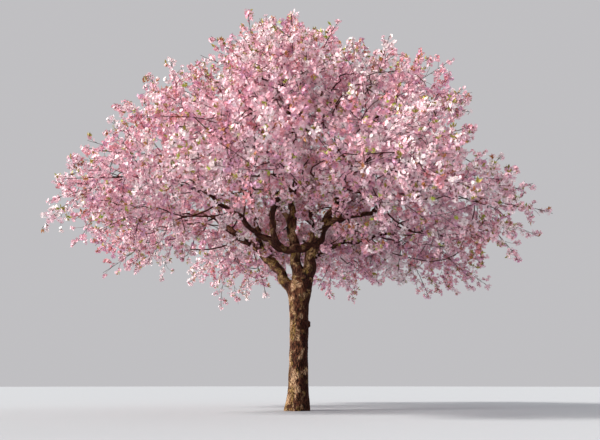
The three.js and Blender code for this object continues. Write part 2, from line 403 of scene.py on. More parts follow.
@dataclass
class BarkFinish(Finish):
    """Bark: patched plates, fissures in painted shade, cross bands of pores, lichen that doubles as a painted
    highlight on the side towards the light, painted shade on the side away.
    """

    name: str
    pale: Colour
    middle: Colour
    deep: Colour
    # fissure: the near-black of painted shade in fissures and scar hollows
    fissure: Colour
    pore: Colour
    moss: Colour
    # crust: pale lichen crust, also the colour of a painted highlight on the side towards the light
    crust_and_highlight: Colour
    pore_share: float
    # painted shade: the colour and strength of the darkening on the side away from the light
    painted_shade: Colour = tint(46, 15, 9)
    painted_shade_share: float = 0.7
    sheen: float = 0.15
    bump_strength: float = 0.7
    bump_height: float = 0.004

    def build(self) -> bpy.types.Material:
        """Makes the material.

        Returns:
            The bark.
        """
        self.start(self.name)
        patches = self.noise(self.grain((7, 7, 3)), 4, 0.6)
        streaks = self.noise(self.grain((70, 70, 14)), 5, 0.3)
        grit = self.noise(self.grain((260, 260, 150)), 3)
        pores = self.noise(self.grain((16, 16, 120)), 2, 0.2)
        mottle = self.noise(self.grain((52, 52, 34)), 5, 1.0)

        body = self.ramp(patches, [(0.30, self.deep), (0.50, self.middle), (0.70, self.pale)])
        body = self.mixed(self.ranged(streaks, 0.38, 0.62, (0.0, 0.9)), body, self.deep, "MULTIPLY")
        streak_light = self.ranged(streaks, 0.52, 0.30, (0.0, 0.55))
        body = self.mixed(streak_light, body, self.pale)
        body = self.mixed(self.ranged(pores, 0.60, 0.70, (0.0, self.pore_share)), body, self.pore)
        # painted shade: darkens the bark on the side away from the light
        painted_shade_amount = self.combined(self.attribute("painted_shade").outputs["Fac"], self.painted_shade_share)
        body = self.mixed(painted_shade_amount, body, self.painted_shade)
        # painted shade: fissures and scar hollows darkened towards near black
        body = self.mixed(self.ranged(self.attribute("cleft").outputs["Fac"], 0.1, 0.9), body, self.fissure)
        # lichen patches, massed on the side towards the light, their pale crust partly a painted highlight
        lichen_and_highlight = self.attribute("lichen_and_highlight").outputs["Fac"]
        lichen_and_highlight_share = self.combined(lichen_and_highlight, self.ranged(mottle, 0.44, 0.58, (0.0, 0.9)))
        cover = self.ramp(patches, [(0.42, self.moss), (0.58, self.crust_and_highlight)])
        body = self.mixed(lichen_and_highlight_share, body, cover)
        self.join(body, self.shader.inputs["Base Color"])
        self.join(self.ranged(streaks, 0.3, 0.7, (0.72, 0.94)), self.shader.inputs["Roughness"])
        self.shader.inputs["Specular IOR Level"].default_value = self.sheen

        heights = self.combined(streaks, self.combined(grit, 0.5), "ADD")
        bump = self.node("Bump")
        bump.inputs["Strength"].default_value = self.bump_strength
        bump.inputs["Distance"].default_value = self.bump_height
        self.join(heights, bump.inputs["Height"])
        self.join(bump.outputs["Normal"], self.shader.inputs["Normal"])
        return self.material


@dataclass
class PlainFinish(Finish):
    """One even colour, for the small parts that are dealt out spray by spray."""

    name: str
    colour: Colour
    roughness: float
    sheen: float = 0.5

    def build(self) -> bpy.types.Material:
        """Makes the material.

        Returns:
            The plain material.
        """
        self.start(self.name)
        self.shader.inputs["Base Color"].default_value = self.colour
        self.shader.inputs["Roughness"].default_value = self.roughness
        self.shader.inputs["Specular IOR Level"].default_value = self.sheen
        return self.material


class BarkKind(Enum):
    """The barks of the tree, from the old trunk to the boughs."""

    TRUNK = BarkFinish(
        "trunk_bark_finish",
        pale=tint(136, 90, 64), middle=tint(84, 43, 29), deep=tint(42, 19, 13), fissure=tint(18, 8, 6),
        pore=tint(120, 78, 56), moss=tint(148, 118, 64), crust_and_highlight=tint(216, 180, 144), pore_share=0.3,
    )
    BOUGH = BarkFinish(
        "bough_bark_finish",
        pale=tint(124, 80, 62), middle=tint(72, 38, 30), deep=tint(38, 18, 15), fissure=tint(18, 8, 7),
        pore=tint(132, 88, 68), moss=tint(152, 122, 62), crust_and_highlight=tint(200, 164, 122), pore_share=0.5,
    )


class TwigTint(Enum):
    """The wood of stems, twigs and the stalks of the flowers."""

    STEM = PlainFinish("stem_wood", tint(66, 34, 24), 0.8, 0.15)
    TWIG = PlainFinish("twig_wood", tint(60, 28, 25), 0.75, 0.15)
    SHOOT = PlainFinish("shoot_wood", tint(88, 40, 36), 0.7, 0.2)


# The slots of the woods, in the order of TwigTint
STEM_WOOD, TWIG_WOOD, SHOOT_WOOD = range(3)


class PetalTint(Enum):
    """The pinks of the petals, from the palest to the deepest, and the stalks that carry them."""

    WHITE = PlainFinish("petal_near_white", tint(252, 238, 240), 0.6)
    BLUSH = PlainFinish("petal_blush", tint(248, 220, 230), 0.6)
    PALE = PlainFinish("petal_pale_pink", tint(246, 204, 215), 0.6)
    PINK = PlainFinish("petal_pink", tint(242, 188, 202), 0.6)
    MAUVE = PlainFinish("petal_mauve", tint(224, 171, 200), 0.6)
    DEEP = PlainFinish("petal_deep_pink", tint(224, 147, 156), 0.6)
    STALK = PlainFinish("flower_stalk", tint(128, 70, 50), 0.7)


class LeafTint(Enum):
    """The colours of young leaves as they unfold."""

    OLIVE = PlainFinish("leaf_olive", tint(156, 144, 58), 0.6)
    FRESH = PlainFinish("leaf_fresh_green", tint(172, 180, 72), 0.55)
    BRONZE = PlainFinish("leaf_bronze", tint(182, 122, 72), 0.6)


# Limbs


@dataclass
class Skin:
    """A limb's surface as a grid of rings: (rings, sides, 3) arrays of points and directions."""

    points: Array
    outward: Array
    grain: Array
    girth: Array
    age: Array


@dataclass(frozen=True)
class Scar:
    """Where a branch was cut off or fell: a collar that stands proud round a hollow middle, darkened as
    painted shade.
    """

    height: float
    compass: float
    size: float
    rise: float
    hollow: float

    def relief(self, across: Array, along: Array) -> tuple[Array, Array]:
        """How far the scar lifts the bark, and how much painted shade darkens its hollow middle.

        With d the distance from its middle in shares of its size, the lift is rise times a step that
        falls between 0.55 and 1.25, less hollow times a step that falls between 0.15 and 0.6.

        Args:
            across: way round the limb from the scar's middle.
            along: way along the limb from the scar's middle.

        Returns:
            The lift and the painted shade, 0 to 1.
        """
        away = np.hypot(across, along * 0.85) / self.size
        inside = 1 - eased(away, 0.15, 0.6)
        return self.rise * (1 - eased(away, 0.55, 1.25)) - self.hollow * inside, inside * 0.9


@dataclass(frozen=True)
class BarkRelief:
    """The relief of the bark: plates between long fissures on old wood, cross bands on young wood."""

    plate_width: float = 0.034
    plate_length: float = 0.15
    fissure_share: float = 0.2
    fissure_depth: float = 0.010
    fold_size: float = 0.26
    fold_rise: float = 0.014
    band_width: float = 0.085
    band_height: float = 0.010
    band_rise: float = 0.0055
    grit_size: float = 0.011
    grit_rise: float = 0.0022
    warp: float = 0.35
    wander_size: Triple = (0.09, 0.09, 0.16)
    band_edge: Pair = (0.15, 0.65)
    band_loss: float = 0.8
    full_girth: float = 0.19
    least_relief: float = 0.12

    def at(self, skin: Skin, noise: Roughness) -> tuple[Array, Array]:
        """The height of the relief and how deep in a fissure each point lies.

        Folds are wide noise. A fissure runs where a noise stretched along the limb crosses nought.
        Bands are noise stretched round the limb, of which only the tops stand out. Grit is fine noise.
        What is added to the grain keeps the noises apart. Thin limbs have less of all of them.

        Args:
            skin: the limb's surface.
            noise: the noise that all of them read.

        Returns:
            The height, and the cleft from 0 to 1, for each point of the surface.
        """
        shape = skin.age.shape
        grain = skin.grain.reshape(-1, 3)
        age = skin.age.ravel()
        fine = np.clip(skin.girth.ravel() / self.full_girth, self.least_relief, 1.0)
        fold = noise.layered(grain / (self.fold_size, self.fold_size, 1.6 * self.fold_size), 2)
        wander = noise.layered(grain / self.wander_size + 31.7, 2)
        plate = grain / (self.plate_width, self.plate_width, self.plate_length) + self.warp * wander[:, None]
        crossing = np.abs(noise.layered(plate, 2))
        cleft = (1 - eased(crossing, 0.02, self.fissure_share)) * eased(age, 0.0, 0.7)
        band = noise.layered(grain / (self.band_width, self.band_width, self.band_height) + 11.1, 2)
        band = eased(band, *self.band_edge) * (1 - self.band_loss * eased(age, 0.3, 1.0))
        grit = noise.layered(grain / (self.grit_size, self.grit_size, 3 * self.grit_size), 2)
        height = self.fold_rise * fold - self.fissure_depth * cleft + self.band_rise * band
        height = fine * height + (0.3 + 0.7 * age) * fine * self.grit_rise * grit
        return height.reshape(shape), cleft.reshape(shape)


def grid_triangles(rings: int, sides: int) -> Array:
    """The triangles of a closed skin: a tube of rings, with a pole before the first and after the last.

    A ring of three needs no pole: one triangle closes each end.

    Args:
        rings: number of rings.
        sides: corners of each ring.

    Returns:
        (m, 3) corner numbers. The poles are the last two corners, where there are any.
    """
    ring, side = np.meshgrid(np.arange(rings - 1), np.arange(sides), indexing="ij")
    after = (side + 1) % sides
    a, b = ring * sides + side, ring * sides + after
    c, d = a + sides, b + sides
    walls = np.concatenate([np.stack([a, b, d], -1).reshape(-1, 3), np.stack([a, d, c], -1).reshape(-1, 3)])
    last = (rings - 1) * sides
    if sides == 3:
        return np.concatenate([walls, [(0, 2, 1)], [(last, last + 1, last + 2)]])
    edge = np.arange(sides)
    turned = (edge + 1) % sides
    low, high = rings * sides, rings * sides + 1
    floor = np.stack([np.full(sides, low), turned, edge], -1)
    roof = np.stack([np.full(sides, high), last + edge, last + turned], -1)
    return np.concatenate([walls, floor, roof])


@dataclass(frozen=True)
class Trunk:
    """The trunk: an even girth that widens into the fork, a flare at the roots, a lean and an S-bend."""

    name: str = "trunk"
    height: float = 2.68
    girth: float = 0.19
    fork: float = 0.214
    lean: float = 0.08
    sway: float = 0.016
    swell_from: float = 0.6
    round_from: float = 0.9
    round_depth: float = 0.86
    flare: float = 0.06
    flare_height: float = 0.33
    flare_power: float = 1.4
    lobes: int = 5
    lobe_share: float = 0.35
    youth: float = 0.75
    youth_span: Pair = (0.45, 0.95)
    top_rise: float = 0.02
    sides: int = 216
    rings: int = 420
    scars: tuple[Scar, ...] = (
        Scar(height=1.70, compass=14, size=0.058, rise=0.040, hollow=0.006),
        Scar(height=1.12, compass=236, size=0.050, rise=0.014, hollow=0.016),
        Scar(height=2.02, compass=128, size=0.056, rise=0.018, hollow=0.020),
        Scar(height=0.86, compass=62, size=0.044, rise=0.012, hollow=0.014),
    )

    def centre(self, share: Array | float) -> Array:
        """The middle of the trunk at a share of its height: an even lean and one slow S.

        Args:
            share: from 0 at the ground to 1 at the top.

        Returns:
            The point, or one for each share.
        """
        share = np.asarray(share, float)
        across = self.lean * share + self.sway * np.sin(FULL_TURN * share)
        away = self.sway * np.sin(math.pi * share)
        return np.stack([across, away, self.height * share], -1)

    def radius(self, share: Array | float) -> Array:
        """The radius without its flare: even, then wider into the fork, then rounded over.

        Args:
            share: from 0 at the ground to 1 at the top.

        Returns:
            The radius.
        """
        body = between(self.girth, self.fork, eased(share, self.swell_from, self.round_from))
        over = np.maximum(0, (np.asarray(share) - self.round_from) / (1 - self.round_from))
        return body * np.sqrt(1 - self.round_depth * over * over)

    def beads(self, low: float, high: float) -> tuple[Array, Array]:
        """Balls along the trunk that fill it.

        Args:
            low: share of the height where they start.
            high: share where they end.

        Returns:
            Their middles and radii.
        """
        shares = np.linspace(max(0.0, low), min(1.0, high), JOINT_BEADS)
        return self.centre(shares), self.radius(shares)

    def skin(self) -> Skin:
        """The trunk's surface before its relief.

        Each ring is level: radius plus flare, where the flare is fuller towards each of five roots and
        dies away with height.

        Returns:
            The surface.
        """
        share, turn = np.meshgrid(
            np.linspace(0, 1, self.rings), FULL_TURN * np.arange(self.sides) / self.sides, indexing="ij"
        )
        centre = self.centre(share)
        high = centre[..., 2]
        lobe = 1 + self.lobe_share * np.cos(self.lobes * turn)
        flare = self.flare * lobe * np.exp(-((high / self.flare_height) ** self.flare_power))
        radius = self.radius(share) + flare
        outward = np.stack([np.cos(turn), np.sin(turn), np.zeros_like(turn)], -1)
        grain = outward * radius[..., None]
        grain[..., 2] = high
        age = 1 - self.youth * eased(share, *self.youth_span)
        return Skin(centre + outward * radius[..., None], outward, grain, radius, age)

    def poles(self) -> Array:
        """The two points that close the skin: the middle of the cut, and of the top."""
        return np.stack([self.centre(0.0), self.centre(1.0) + (0, 0, self.top_rise)])

    def knots(self) -> tuple[Scar, ...]:
        """The scars, under the name that limbs give them."""
        return self.scars

    @property
    def node(self) -> str:
        """The node that the bark stands for."""
        return self.name


class Line:
    """The middle of a limb."""

    side: Array

    def at(self, shares: Array | float) -> Array:
        """The points of the line at shares of its length."""
        raise NotImplementedError

    def direction(self, shares: Array | float) -> Array:
        """The unit directions of the line at shares of its length."""
        shares = np.asarray(shares, float)
        ahead, behind = np.minimum(1, shares + SMALL_STEP), np.maximum(0, shares - SMALL_STEP)
        return unit(self.at(ahead) - self.at(behind))


@dataclass
class StepLine(Line):
    """A thin branch's middle: a smooth bend through the ends of its steps."""

    start: Array
    steps: tuple[Triple, ...]

    def __post_init__(self) -> None:
        """Adds up the steps, each a compass angle, a climb and a length, and finds one side."""
        moves = np.stack([heading(compass, climb) * length for compass, climb, length in self.steps])
        self.ends = np.concatenate([self.start[None], self.start + np.cumsum(moves, axis=0)])
        self.side = unit(np.cross(self.ends[-1] - self.ends[0], UPWARD))

    def at(self, shares: Array | float) -> Array:
        """Points of the line.

        Between two ends of steps a cubic goes through both, with the slope at each taken from the ends
        before and after it.

        Args:
            shares: from 0 at the root to 1 at the tip.

        Returns:
            A point for each share.
        """
        count = len(self.ends) - 1
        place = np.clip(np.asarray(shares, float), 0, 1) * count
        low = np.minimum(place.astype(int), count - 1)
        t = (place - low)[..., None]
        a, b, c, d = (self.ends[np.clip(low + k, 0, count)] for k in (-1, 0, 1, 2))
        slope = (c - a) * t
        curve = (2 * a - 5 * b + 4 * c - d) * t * t
        twist = (3 * b - a - 3 * c + d) * t**3
        return b + 0.5 * (slope + curve + twist)


@dataclass
class LimbLine(Line):
    """A limb's middle: a smooth bend between two points, with a slow sway added."""

    start: Array
    end: Array
    leave: Array
    arrive: Array
    sway: float
    waves: float
    side_sway: float = 0.6

    def __post_init__(self) -> None:
        """Works out the two directions across the limb in which it sways."""
        chord = self.end - self.start
        self.pull = np.linalg.norm(chord) / 3
        self.side = unit(np.cross(chord, UPWARD))
        self.over = unit(np.cross(self.side, chord))

    def at(self, shares: Array | float) -> Array:
        """Points of the middle line.

        A cubic through the start and end, pulled along the headings by a third of the chord, plus
        sway times sin(pi t) times sin(2 pi waves t).

        Args:
            shares: from 0 at the root to 1 at the tip.

        Returns:
            A point for each share.
        """
        t = np.asarray(shares, float)[..., None]
        near = self.start + self.leave * self.pull
        far = self.end - self.arrive * self.pull
        bend = (1 - t) ** 3 * self.start + 3 * t * (1 - t) ** 2 * near
        bend = bend + 3 * t * t * (1 - t) * far + t**3 * self.end
        swing = self.sway * np.sin(math.pi * t) * np.sin(FULL_TURN * self.waves * t)
        return bend + swing * (self.side_sway * self.side + self.over)


@dataclass
class Limb:
    """A tapering limb on what carries it, with its kinks and knots."""

    name: str
    parent: str
    share: float
    root: float
    _: KW_ONLY
    tip: float = 0.03
    taper: float = 0.8
    collar_swell: float = 0.3
    collar_fade: float = 10
    kink: float = 0.024
    kink_share: float = 0.36
    kink_fades: Pair = (0.15, 0.12)
    kink_waves: tuple[Pair, ...] = ((0.7, 0.71), (0.4, 0.33))
    crest: float = 0.97
    knot_every: float = 0.34
    knot_shares: Triple = (0.62, 0.2, 0.14)
    knot_least: float = 0.008
    bark_age: float = 0.55
    bark_spacing: float = 10.0
    quarter_sides: float = 125
    side_limits: tuple[int, int] = (12, 72)
    ring_gaps: Pair = (0.011, 0.019)
    fullness: float = 1.0
    line: Line = field(init=False)

    @property
    def seed(self) -> int:
        """A seed of the limb's own, from its name."""
        return 1 + sum(map(ord, self.name)) % 50

    @property
    def bark_start(self) -> float:
        """Where along the bark's pattern the limb starts, by its seed."""
        return self.bark_spacing * self.seed

    def knots(self) -> tuple[Scar, ...]:
        """The knots where small branches once were, dealt out along the limb.

        Returns:
            The knots, sized by the limb's radius there.
        """
        draws = Draws(self.seed)
        length = self.length()
        count = int(length / self.knot_every)
        made = []
        for step in range(count):
            share = (step + draws.next()) / count
            girth = float(self.radius(share))
            place = self.bark_start + share * length
            size, rise, hollow = (part * girth for part in self.knot_shares)
            made.append(Scar(place, 360 * draws.next(), size + self.knot_least, rise, hollow))
        return tuple(made)

    def sideways(self, along: Array) -> tuple[Array, Array]:
        """Two directions across the limb, turned from one fixed side of the whole limb.

        Args:
            along: (n, 3) directions of the limb.

        Returns:
            The first and the second, each (n, 3).
        """
        first = unit(self.line.side - (along @ self.line.side)[:, None] * along)
        return first, np.cross(along, first)

    def crooked(self, shares: Array) -> Array:
        """The middle of the bark: the line with small kinks that die away at both ends.

        Each of the two ways across gets two waves with sharpened crests, 0.71 m and 0.33 m long.

        Args:
            shares: (n,) from 0 at the root to 1 at the tip.

        Returns:
            (n, 3) points.
        """
        way = shares * self.length()
        draws = Draws(self.seed + 70)
        first_fade, last_fade = self.kink_fades
        size = min(self.kink, self.kink_share * self.root) * eased(shares, 0.0, first_fade)
        size = size * eased(1 - shares, 0.0, last_fade)
        points = self.line.at(shares)
        for across in self.sideways(self.line.direction(shares)):
            wave = sum(
                part * np.arcsin(self.crest * np.sin(FULL_TURN * (way / long + draws.next())))
                for part, long in self.kink_waves
            )
            points = points + (size * wave)[:, None] * across
        return points

    def radius(self, shares: Array | float) -> Array:
        """The radius: from root to tip by the 0.8th power, plus a collar that dies away from the root."""
        shares = np.asarray(shares, float)
        collar = self.collar_swell * self.root * np.exp(-self.collar_fade * shares)
        return between(self.root, self.tip, shares**self.taper) + collar

    def beads(self, low: float, high: float) -> tuple[Array, Array]:
        """Balls along the limb that fill it.

        Args:
            low: share of the length where they start.
            high: share where they end.

        Returns:
            Their middles and radii.
        """
        shares = np.linspace(max(0.0, low), min(1.0, high), JOINT_BEADS)
        return self.line.at(shares), self.radius(shares)

    def length(self) -> float:
        """The length of the middle line."""
        points = self.line.at(np.linspace(0, 1, 100))
        return float(np.linalg.norm(np.diff(points, axis=0), axis=1).sum())

    def skin(self) -> Skin:
        """The limb's surface before its relief.

        Each ring is a circle across the line. Stout limbs have more corners and closer rings.

        Returns:
            The surface.
        """
        length = self.length()
        fewest, most = self.side_limits
        sides = int(np.clip(4 * round(self.root * self.quarter_sides), fewest, most))
        rings = int(length / between(*self.ring_gaps, 1 - sides / most))
        share, turn = np.meshgrid(
            np.linspace(0, 1, rings), FULL_TURN * np.arange(sides) / sides, indexing="ij"
        )
        middle = self.crooked(share[:, 0])
        first, second = self.sideways(unit(np.gradient(middle, axis=0)))
        outward = np.cos(turn)[..., None] * first[:, None] + np.sin(turn)[..., None] * second[:, None]
        radius = self.radius(share)
        points = middle[:, None] + outward * radius[..., None]
        way = self.bark_start + share * length
        grain = np.stack([radius * np.cos(turn), radius * np.sin(turn), way], -1)
        age = self.bark_age * (1 - eased(share, 0.0, 0.5))
        return Skin(points, outward, grain, radius, age)

    def poles(self) -> Array:
        """The two points that close the skin, in the middle of each end."""
        return self.line.at(np.array([0.0, 1.0]))


@dataclass
class Bough(Limb):
    """A bough with a solid of its own, which ends in a mass of blossom."""

    compass: float
    slope: float
    sway: float
    waves: float
    mass: str
    bead_count: int = field(default=49, kw_only=True)

    @property
    def node(self) -> str:
        """The node that the bark stands for."""
        return self.name


@dataclass
class Branchlet(Limb):
    """A thin branch that a bough carries, as a row of steps: compass angle, climb and length of each."""

    steps: tuple[Triple, ...]

    @property
    def node(self) -> str:
        """The node that the bark stands for, which is its bough's."""
        return self.parent


# Layout and growth


@dataclass(frozen=True)
class TierSizes:
    """One tier of masses round the axis of the crown."""

    title: str
    count: int
    turn: float
    radius: float
    height: float
    tilt: float
    reach: Triple
    droop: float
    climb: float


class Tier(Enum):
    """The three tiers of the crown, from the low rim to the top."""

    SKIRT = TierSizes("skirt_blossom", 8, 0, 3.15, 4.3, 0.3, (1.64, 1.48, 1.06), 0.34, 16)
    UPPER = TierSizes("upper_blossom", 6, -20, 2.38, 5.8, 0.06, (1.48, 1.4, 1.05), 0.2, 46)
    TOP = TierSizes("top_blossom", 3, 30, 1.08, 7.06, 0.0, (1.26, 1.22, 0.88), 0.12, 66)


@dataclass
class MassPlace:
    """Where one mass of blossom is, and the seed of its twigs."""

    name: str
    tier: TierSizes
    compass: float
    centre: Array
    seed: int
    walls: Array = field(init=False)
    wall_ways: Array = field(init=False)

    @property
    def out(self) -> Array:
        """The level direction away from the crown's axis."""
        return heading(self.compass, 0)


@dataclass(frozen=True)
class SprayRule:
    """The rule by which sprays are dealt out in a mass."""

    count: int
    tries: int
    radius: Pair
    heart: float
    spread: float
    thickest: float


@dataclass(frozen=True)
class SideRule:
    """The rule by which a limb carries short sprays of its own: sizes, spacing and lean."""

    spacing: float
    shares: Pair
    length: Pair
    neck: float = 0.26
    belly: float = 0.3
    thickness: float = 0.0085
    ahead: float = 0.5
    lift: float = 0.28
    gap: float = 0.06
    stoutest: float = 0.8
    thinning: float = 0.55


@dataclass
class Spray:
    """A twig from its fork to its neck, and the spray of blossom from the neck to the tip."""

    fork: Array
    fork_way: Array
    neck: Array
    tip: Array
    aim: Array
    radius: float
    root: float
    end: float
    is_fine: bool


@dataclass
class CrownPlan:
    """The crown's layout and growth, by the same seeded rule as the solids."""

    axis: Pair = (0.06, 0.04)
    seed: int = 4711
    stray: float = 0.15
    entry_inward: float = 0.52
    entry_down: float = 0.12
    limb_clearance: float = 0.0004
    forward: float = 1.75
    back: float = 1.1
    stem_shares: tuple[float, ...] = (0.25, 0.5, 0.75, 1.0)
    stem_tip: float = 0.017
    stem_sag: float = 0.5
    twig_root: float = 0.9
    twig: float = 0.014
    thinning: float = 0.82
    detour: float = 0.3
    lift: float = 0.08
    mass_gap: float = 0.002
    limb_gap: float = 0.018
    main_sprays: SprayRule = SprayRule(24, 14, (0.23, 0.31), 0.42, 0.6, 0.014)
    fine_sprays: SprayRule = SprayRule(74, 8, (0.13, 0.19), 0.22, 0.7, 0.007)
    bough_sides: SideRule = SideRule(0.15, (0.32, 0.97), (0.40, 0.85))
    branchlet_sides: SideRule = SideRule(0.14, (0.42, 1.0), (0.26, 0.46), thickness=0.005)

    def __post_init__(self) -> None:
        """Places the masses and grows the boughs towards them, and the branchlets on the boughs."""
        self.places = self.place_masses()
        self.trunk = Trunk()
        self.boughs = self.grow_boughs()
        self.branchlets = self.grow_branchlets()
        self.limbs = {**self.boughs, **self.branchlets}
        beads = [bough.line.at(np.linspace(0, 1, bough.bead_count)) for bough in self.boughs.values()]
        radii = [bough.radius(np.linspace(0, 1, bough.bead_count)) for bough in self.boughs.values()]
        self.bead_points = np.concatenate(beads)
        self.bead_radii = np.concatenate(radii)

    def place_masses(self) -> dict[str, MassPlace]:
        """Deals out the masses tier by tier, each straying a little from its even place.

        Returns:
            The places by name, each with the planes half-way to all the others.
        """
        draws = Draws(self.seed)
        places: dict[str, MassPlace] = {}
        for tier in (kind.value for kind in Tier):
            for i in range(tier.count):
                compass = tier.turn + 360 * i / tier.count
                out = heading(compass, 0)
                strays = [self.stray * (2 * draws.next() - 1) for _ in range(4)]
                centre = out * (tier.radius + strays[0]) + (*self.axis, tier.height - tier.tilt * out[1])
                name = f"{tier.title}_{i + 1}"
                seed = self.seed + len(places) + 1
                places[name] = MassPlace(name, tier, compass, centre + strays[1:], seed)
        for place in places.values():
            others = np.stack([other.centre for other in places.values() if other is not place])
            place.walls = unit(others - place.centre)
            place.wall_ways = np.einsum("ij,ij->i", place.walls, (others + place.centre) / 2)
        return places

    def grow_boughs(self) -> dict[str, Bough]:
        """Runs each bough from what carries it to the near side of its mass.

        Returns:
            The boughs by name.
        """
        grown: dict[str, Bough] = {}
        for bough in plan_boughs():
            place = self.places[bough.mass]
            carrier = self.trunk.centre if bough.parent == self.trunk.name else grown[bough.parent].line.at
            entry = place.centre - self.entry_inward * place.tier.reach[0] * place.out
            entry = entry - self.entry_down * place.tier.reach[2] * UPWARD
            bough.line = LimbLine(
                carrier(bough.share), entry, heading(bough.compass, bough.slope),
                heading(place.compass, place.tier.climb), bough.sway, bough.waves,
            )
            grown[bough.name] = bough
        return grown

    def grow_branchlets(self) -> dict[str, Branchlet]:
        """Runs each branchlet from the middle of its bough.

        Returns:
            The branchlets by name.
        """
        grown: dict[str, Branchlet] = {}
        for branchlet in plan_branchlets():
            start = self.boughs[branchlet.parent].line.at(branchlet.share)
            branchlet.line = StepLine(start, branchlet.steps)
            grown[branchlet.name] = branchlet
        return grown

    def side_sprays(self, limb: Limb, rule: SideRule) -> list[Spray]:
        """The short sprays that a limb carries itself, beyond its bare foot.

        They go round the limb by the golden angle, lean towards its tip and upwards, and one that
        would run through a bough is left out.

        Args:
            limb: the bough or branchlet.
            rule: how they are dealt out.

        Returns:
            The sprays.
        """
        draws = Draws(limb.seed + 500)
        first, last = rule.shares
        count = int(limb.fullness * limb.length() * (last - first) / rule.spacing)
        sprays = []
        for step in range(count):
            share = between(first, last, (step + draws.next()) / count)
            foot, way = limb.crooked(np.array([share]))[0], limb.line.direction(share)
            side = unit(limb.line.side - (way @ limb.line.side) * way)
            turn = GOLDEN_TURN * step + draws.next()
            out = math.cos(turn) * side + math.sin(turn) * np.cross(way, side)
            aim = unit(out + rule.ahead * way + rule.lift * UPWARD)
            length = between(*rule.length, draws.next())
            tip = foot + length * aim
            girth = float(limb.radius(share))
            if self.clear_of_limbs(foot + (girth + rule.gap) * aim, tip, 0.0, limb):
                root = min(rule.thickness, rule.stoutest * girth)
                sprays.append(
                    Spray(
                        foot, unit(out + way), foot + rule.neck * length * aim, tip, aim,
                        rule.belly * length, root, rule.thinning * root, True,
                    )
                )
        return sprays

    def in_own_space(self, points: Array, reach: Array | float, place: MassPlace) -> Array:
        """Whether balls stay on a mass's own side of the planes half-way to all the others.

        Args:
            points: (n, 3) middles.
            reach: their radius.
            place: the mass.

        Returns:
            (n,) true where a ball stays.
        """
        past = points @ place.walls.T - place.wall_ways
        return past.max(axis=1) < -(reach + self.mass_gap)

    def clear_of_limbs(self, start: Array, end: Array, reach: float, own: Limb | None = None) -> bool:
        """Whether a straight rod keeps clear of every bough.

        Args:
            start: its start.
            end: its end.
            reach: its radius.
            own: a limb that it grows from, whose gap isn't asked for.

        Returns:
            True where no bead of a bough comes near.
        """
        way = end - start
        share = np.clip((self.bead_points - start) @ way / (way @ way), 0, 1)
        gaps = np.linalg.norm(start + share[:, None] * way - self.bead_points, axis=1)
        gap = self.limb_gap if own is None else 0.0
        return bool(np.all(gaps > reach + self.bead_radii + gap))

    def drawn_places(self, place: MassPlace, rule: SprayRule, draws: Draws) -> Array:
        """Places in the shell of a mass, between its heart and its full reach.

        Args:
            place: the mass.
            rule: how many tries, and how bare the heart is.
            draws: the row of draws.

        Returns:
            (tries, 3) points.
        """
        picks = np.array([[draws.next() for _ in range(3)] for _ in range(rule.tries)])
        angle, up = FULL_TURN * picks[:, 0], 2 * picks[:, 1] - 1
        flat = np.sqrt(1 - up * up)
        share = between(rule.heart, 1, picks[:, 2] ** rule.spread)
        reach = place.tier.reach
        outwards = reach[0] * share * flat * np.cos(angle)
        sideways = reach[1] * share * flat * np.sin(angle)
        upwards = reach[2] * share * up - place.tier.droop * outwards
        side = np.cross(UPWARD, place.out)
        level = place.centre + np.outer(outwards, place.out) + np.outer(sideways, side)
        return level + np.outer(upwards, UPWARD)

    def spray_places(
        self, place: MassPlace, rule: SprayRule, foot: Array, draws: Draws, taken: list[Array]
    ) -> list[tuple[Array, float]]:
        """The sprays' places in a mass: each the roomiest of several drawn, nearest to the foot first.

        Args:
            place: the mass.
            rule: how they are dealt out.
            foot: where the stem starts.
            draws: the row of draws.
            taken: the bellies of sprays that are there already. The new ones are added.

        Returns:
            The belly and radius of each.
        """
        chosen = []
        for _ in range(rule.count):
            radius = between(*rule.radius, draws.next())
            tries = self.drawn_places(place, rule, draws)
            fits = self.in_own_space(tries, radius, place)
            if not fits.any():
                continue
            room = np.full(rule.tries, math.inf)
            if taken:
                room = np.linalg.norm(tries[:, None] - np.stack(taken), axis=2).min(axis=1)
            best = tries[int(np.argmax(np.where(fits, room, -1)))]
            taken.append(best)
            chosen.append((best, radius))
        return sorted(chosen, key=lambda pick: np.linalg.norm(pick[0] - foot))

    def stem_points(self, bough: Bough, shares: Array) -> Array:
        """The stem of a mass: on from the bough's tip, bending up to the middle of the mass.

        Args:
            bough: the bough.
            shares: from 0 at the foot to 1 at the middle.

        Returns:
            (n, 3) points.
        """
        ahead = bough.line.direction(1.0)
        foot = bough.line.at(1.0) + self.limb_clearance * ahead
        centre = self.places[bough.mass].centre
        pull = np.linalg.norm(centre - foot) / 3
        return cubic(foot, foot + ahead * pull, centre - self.stem_sag * pull * UPWARD, centre, shares)

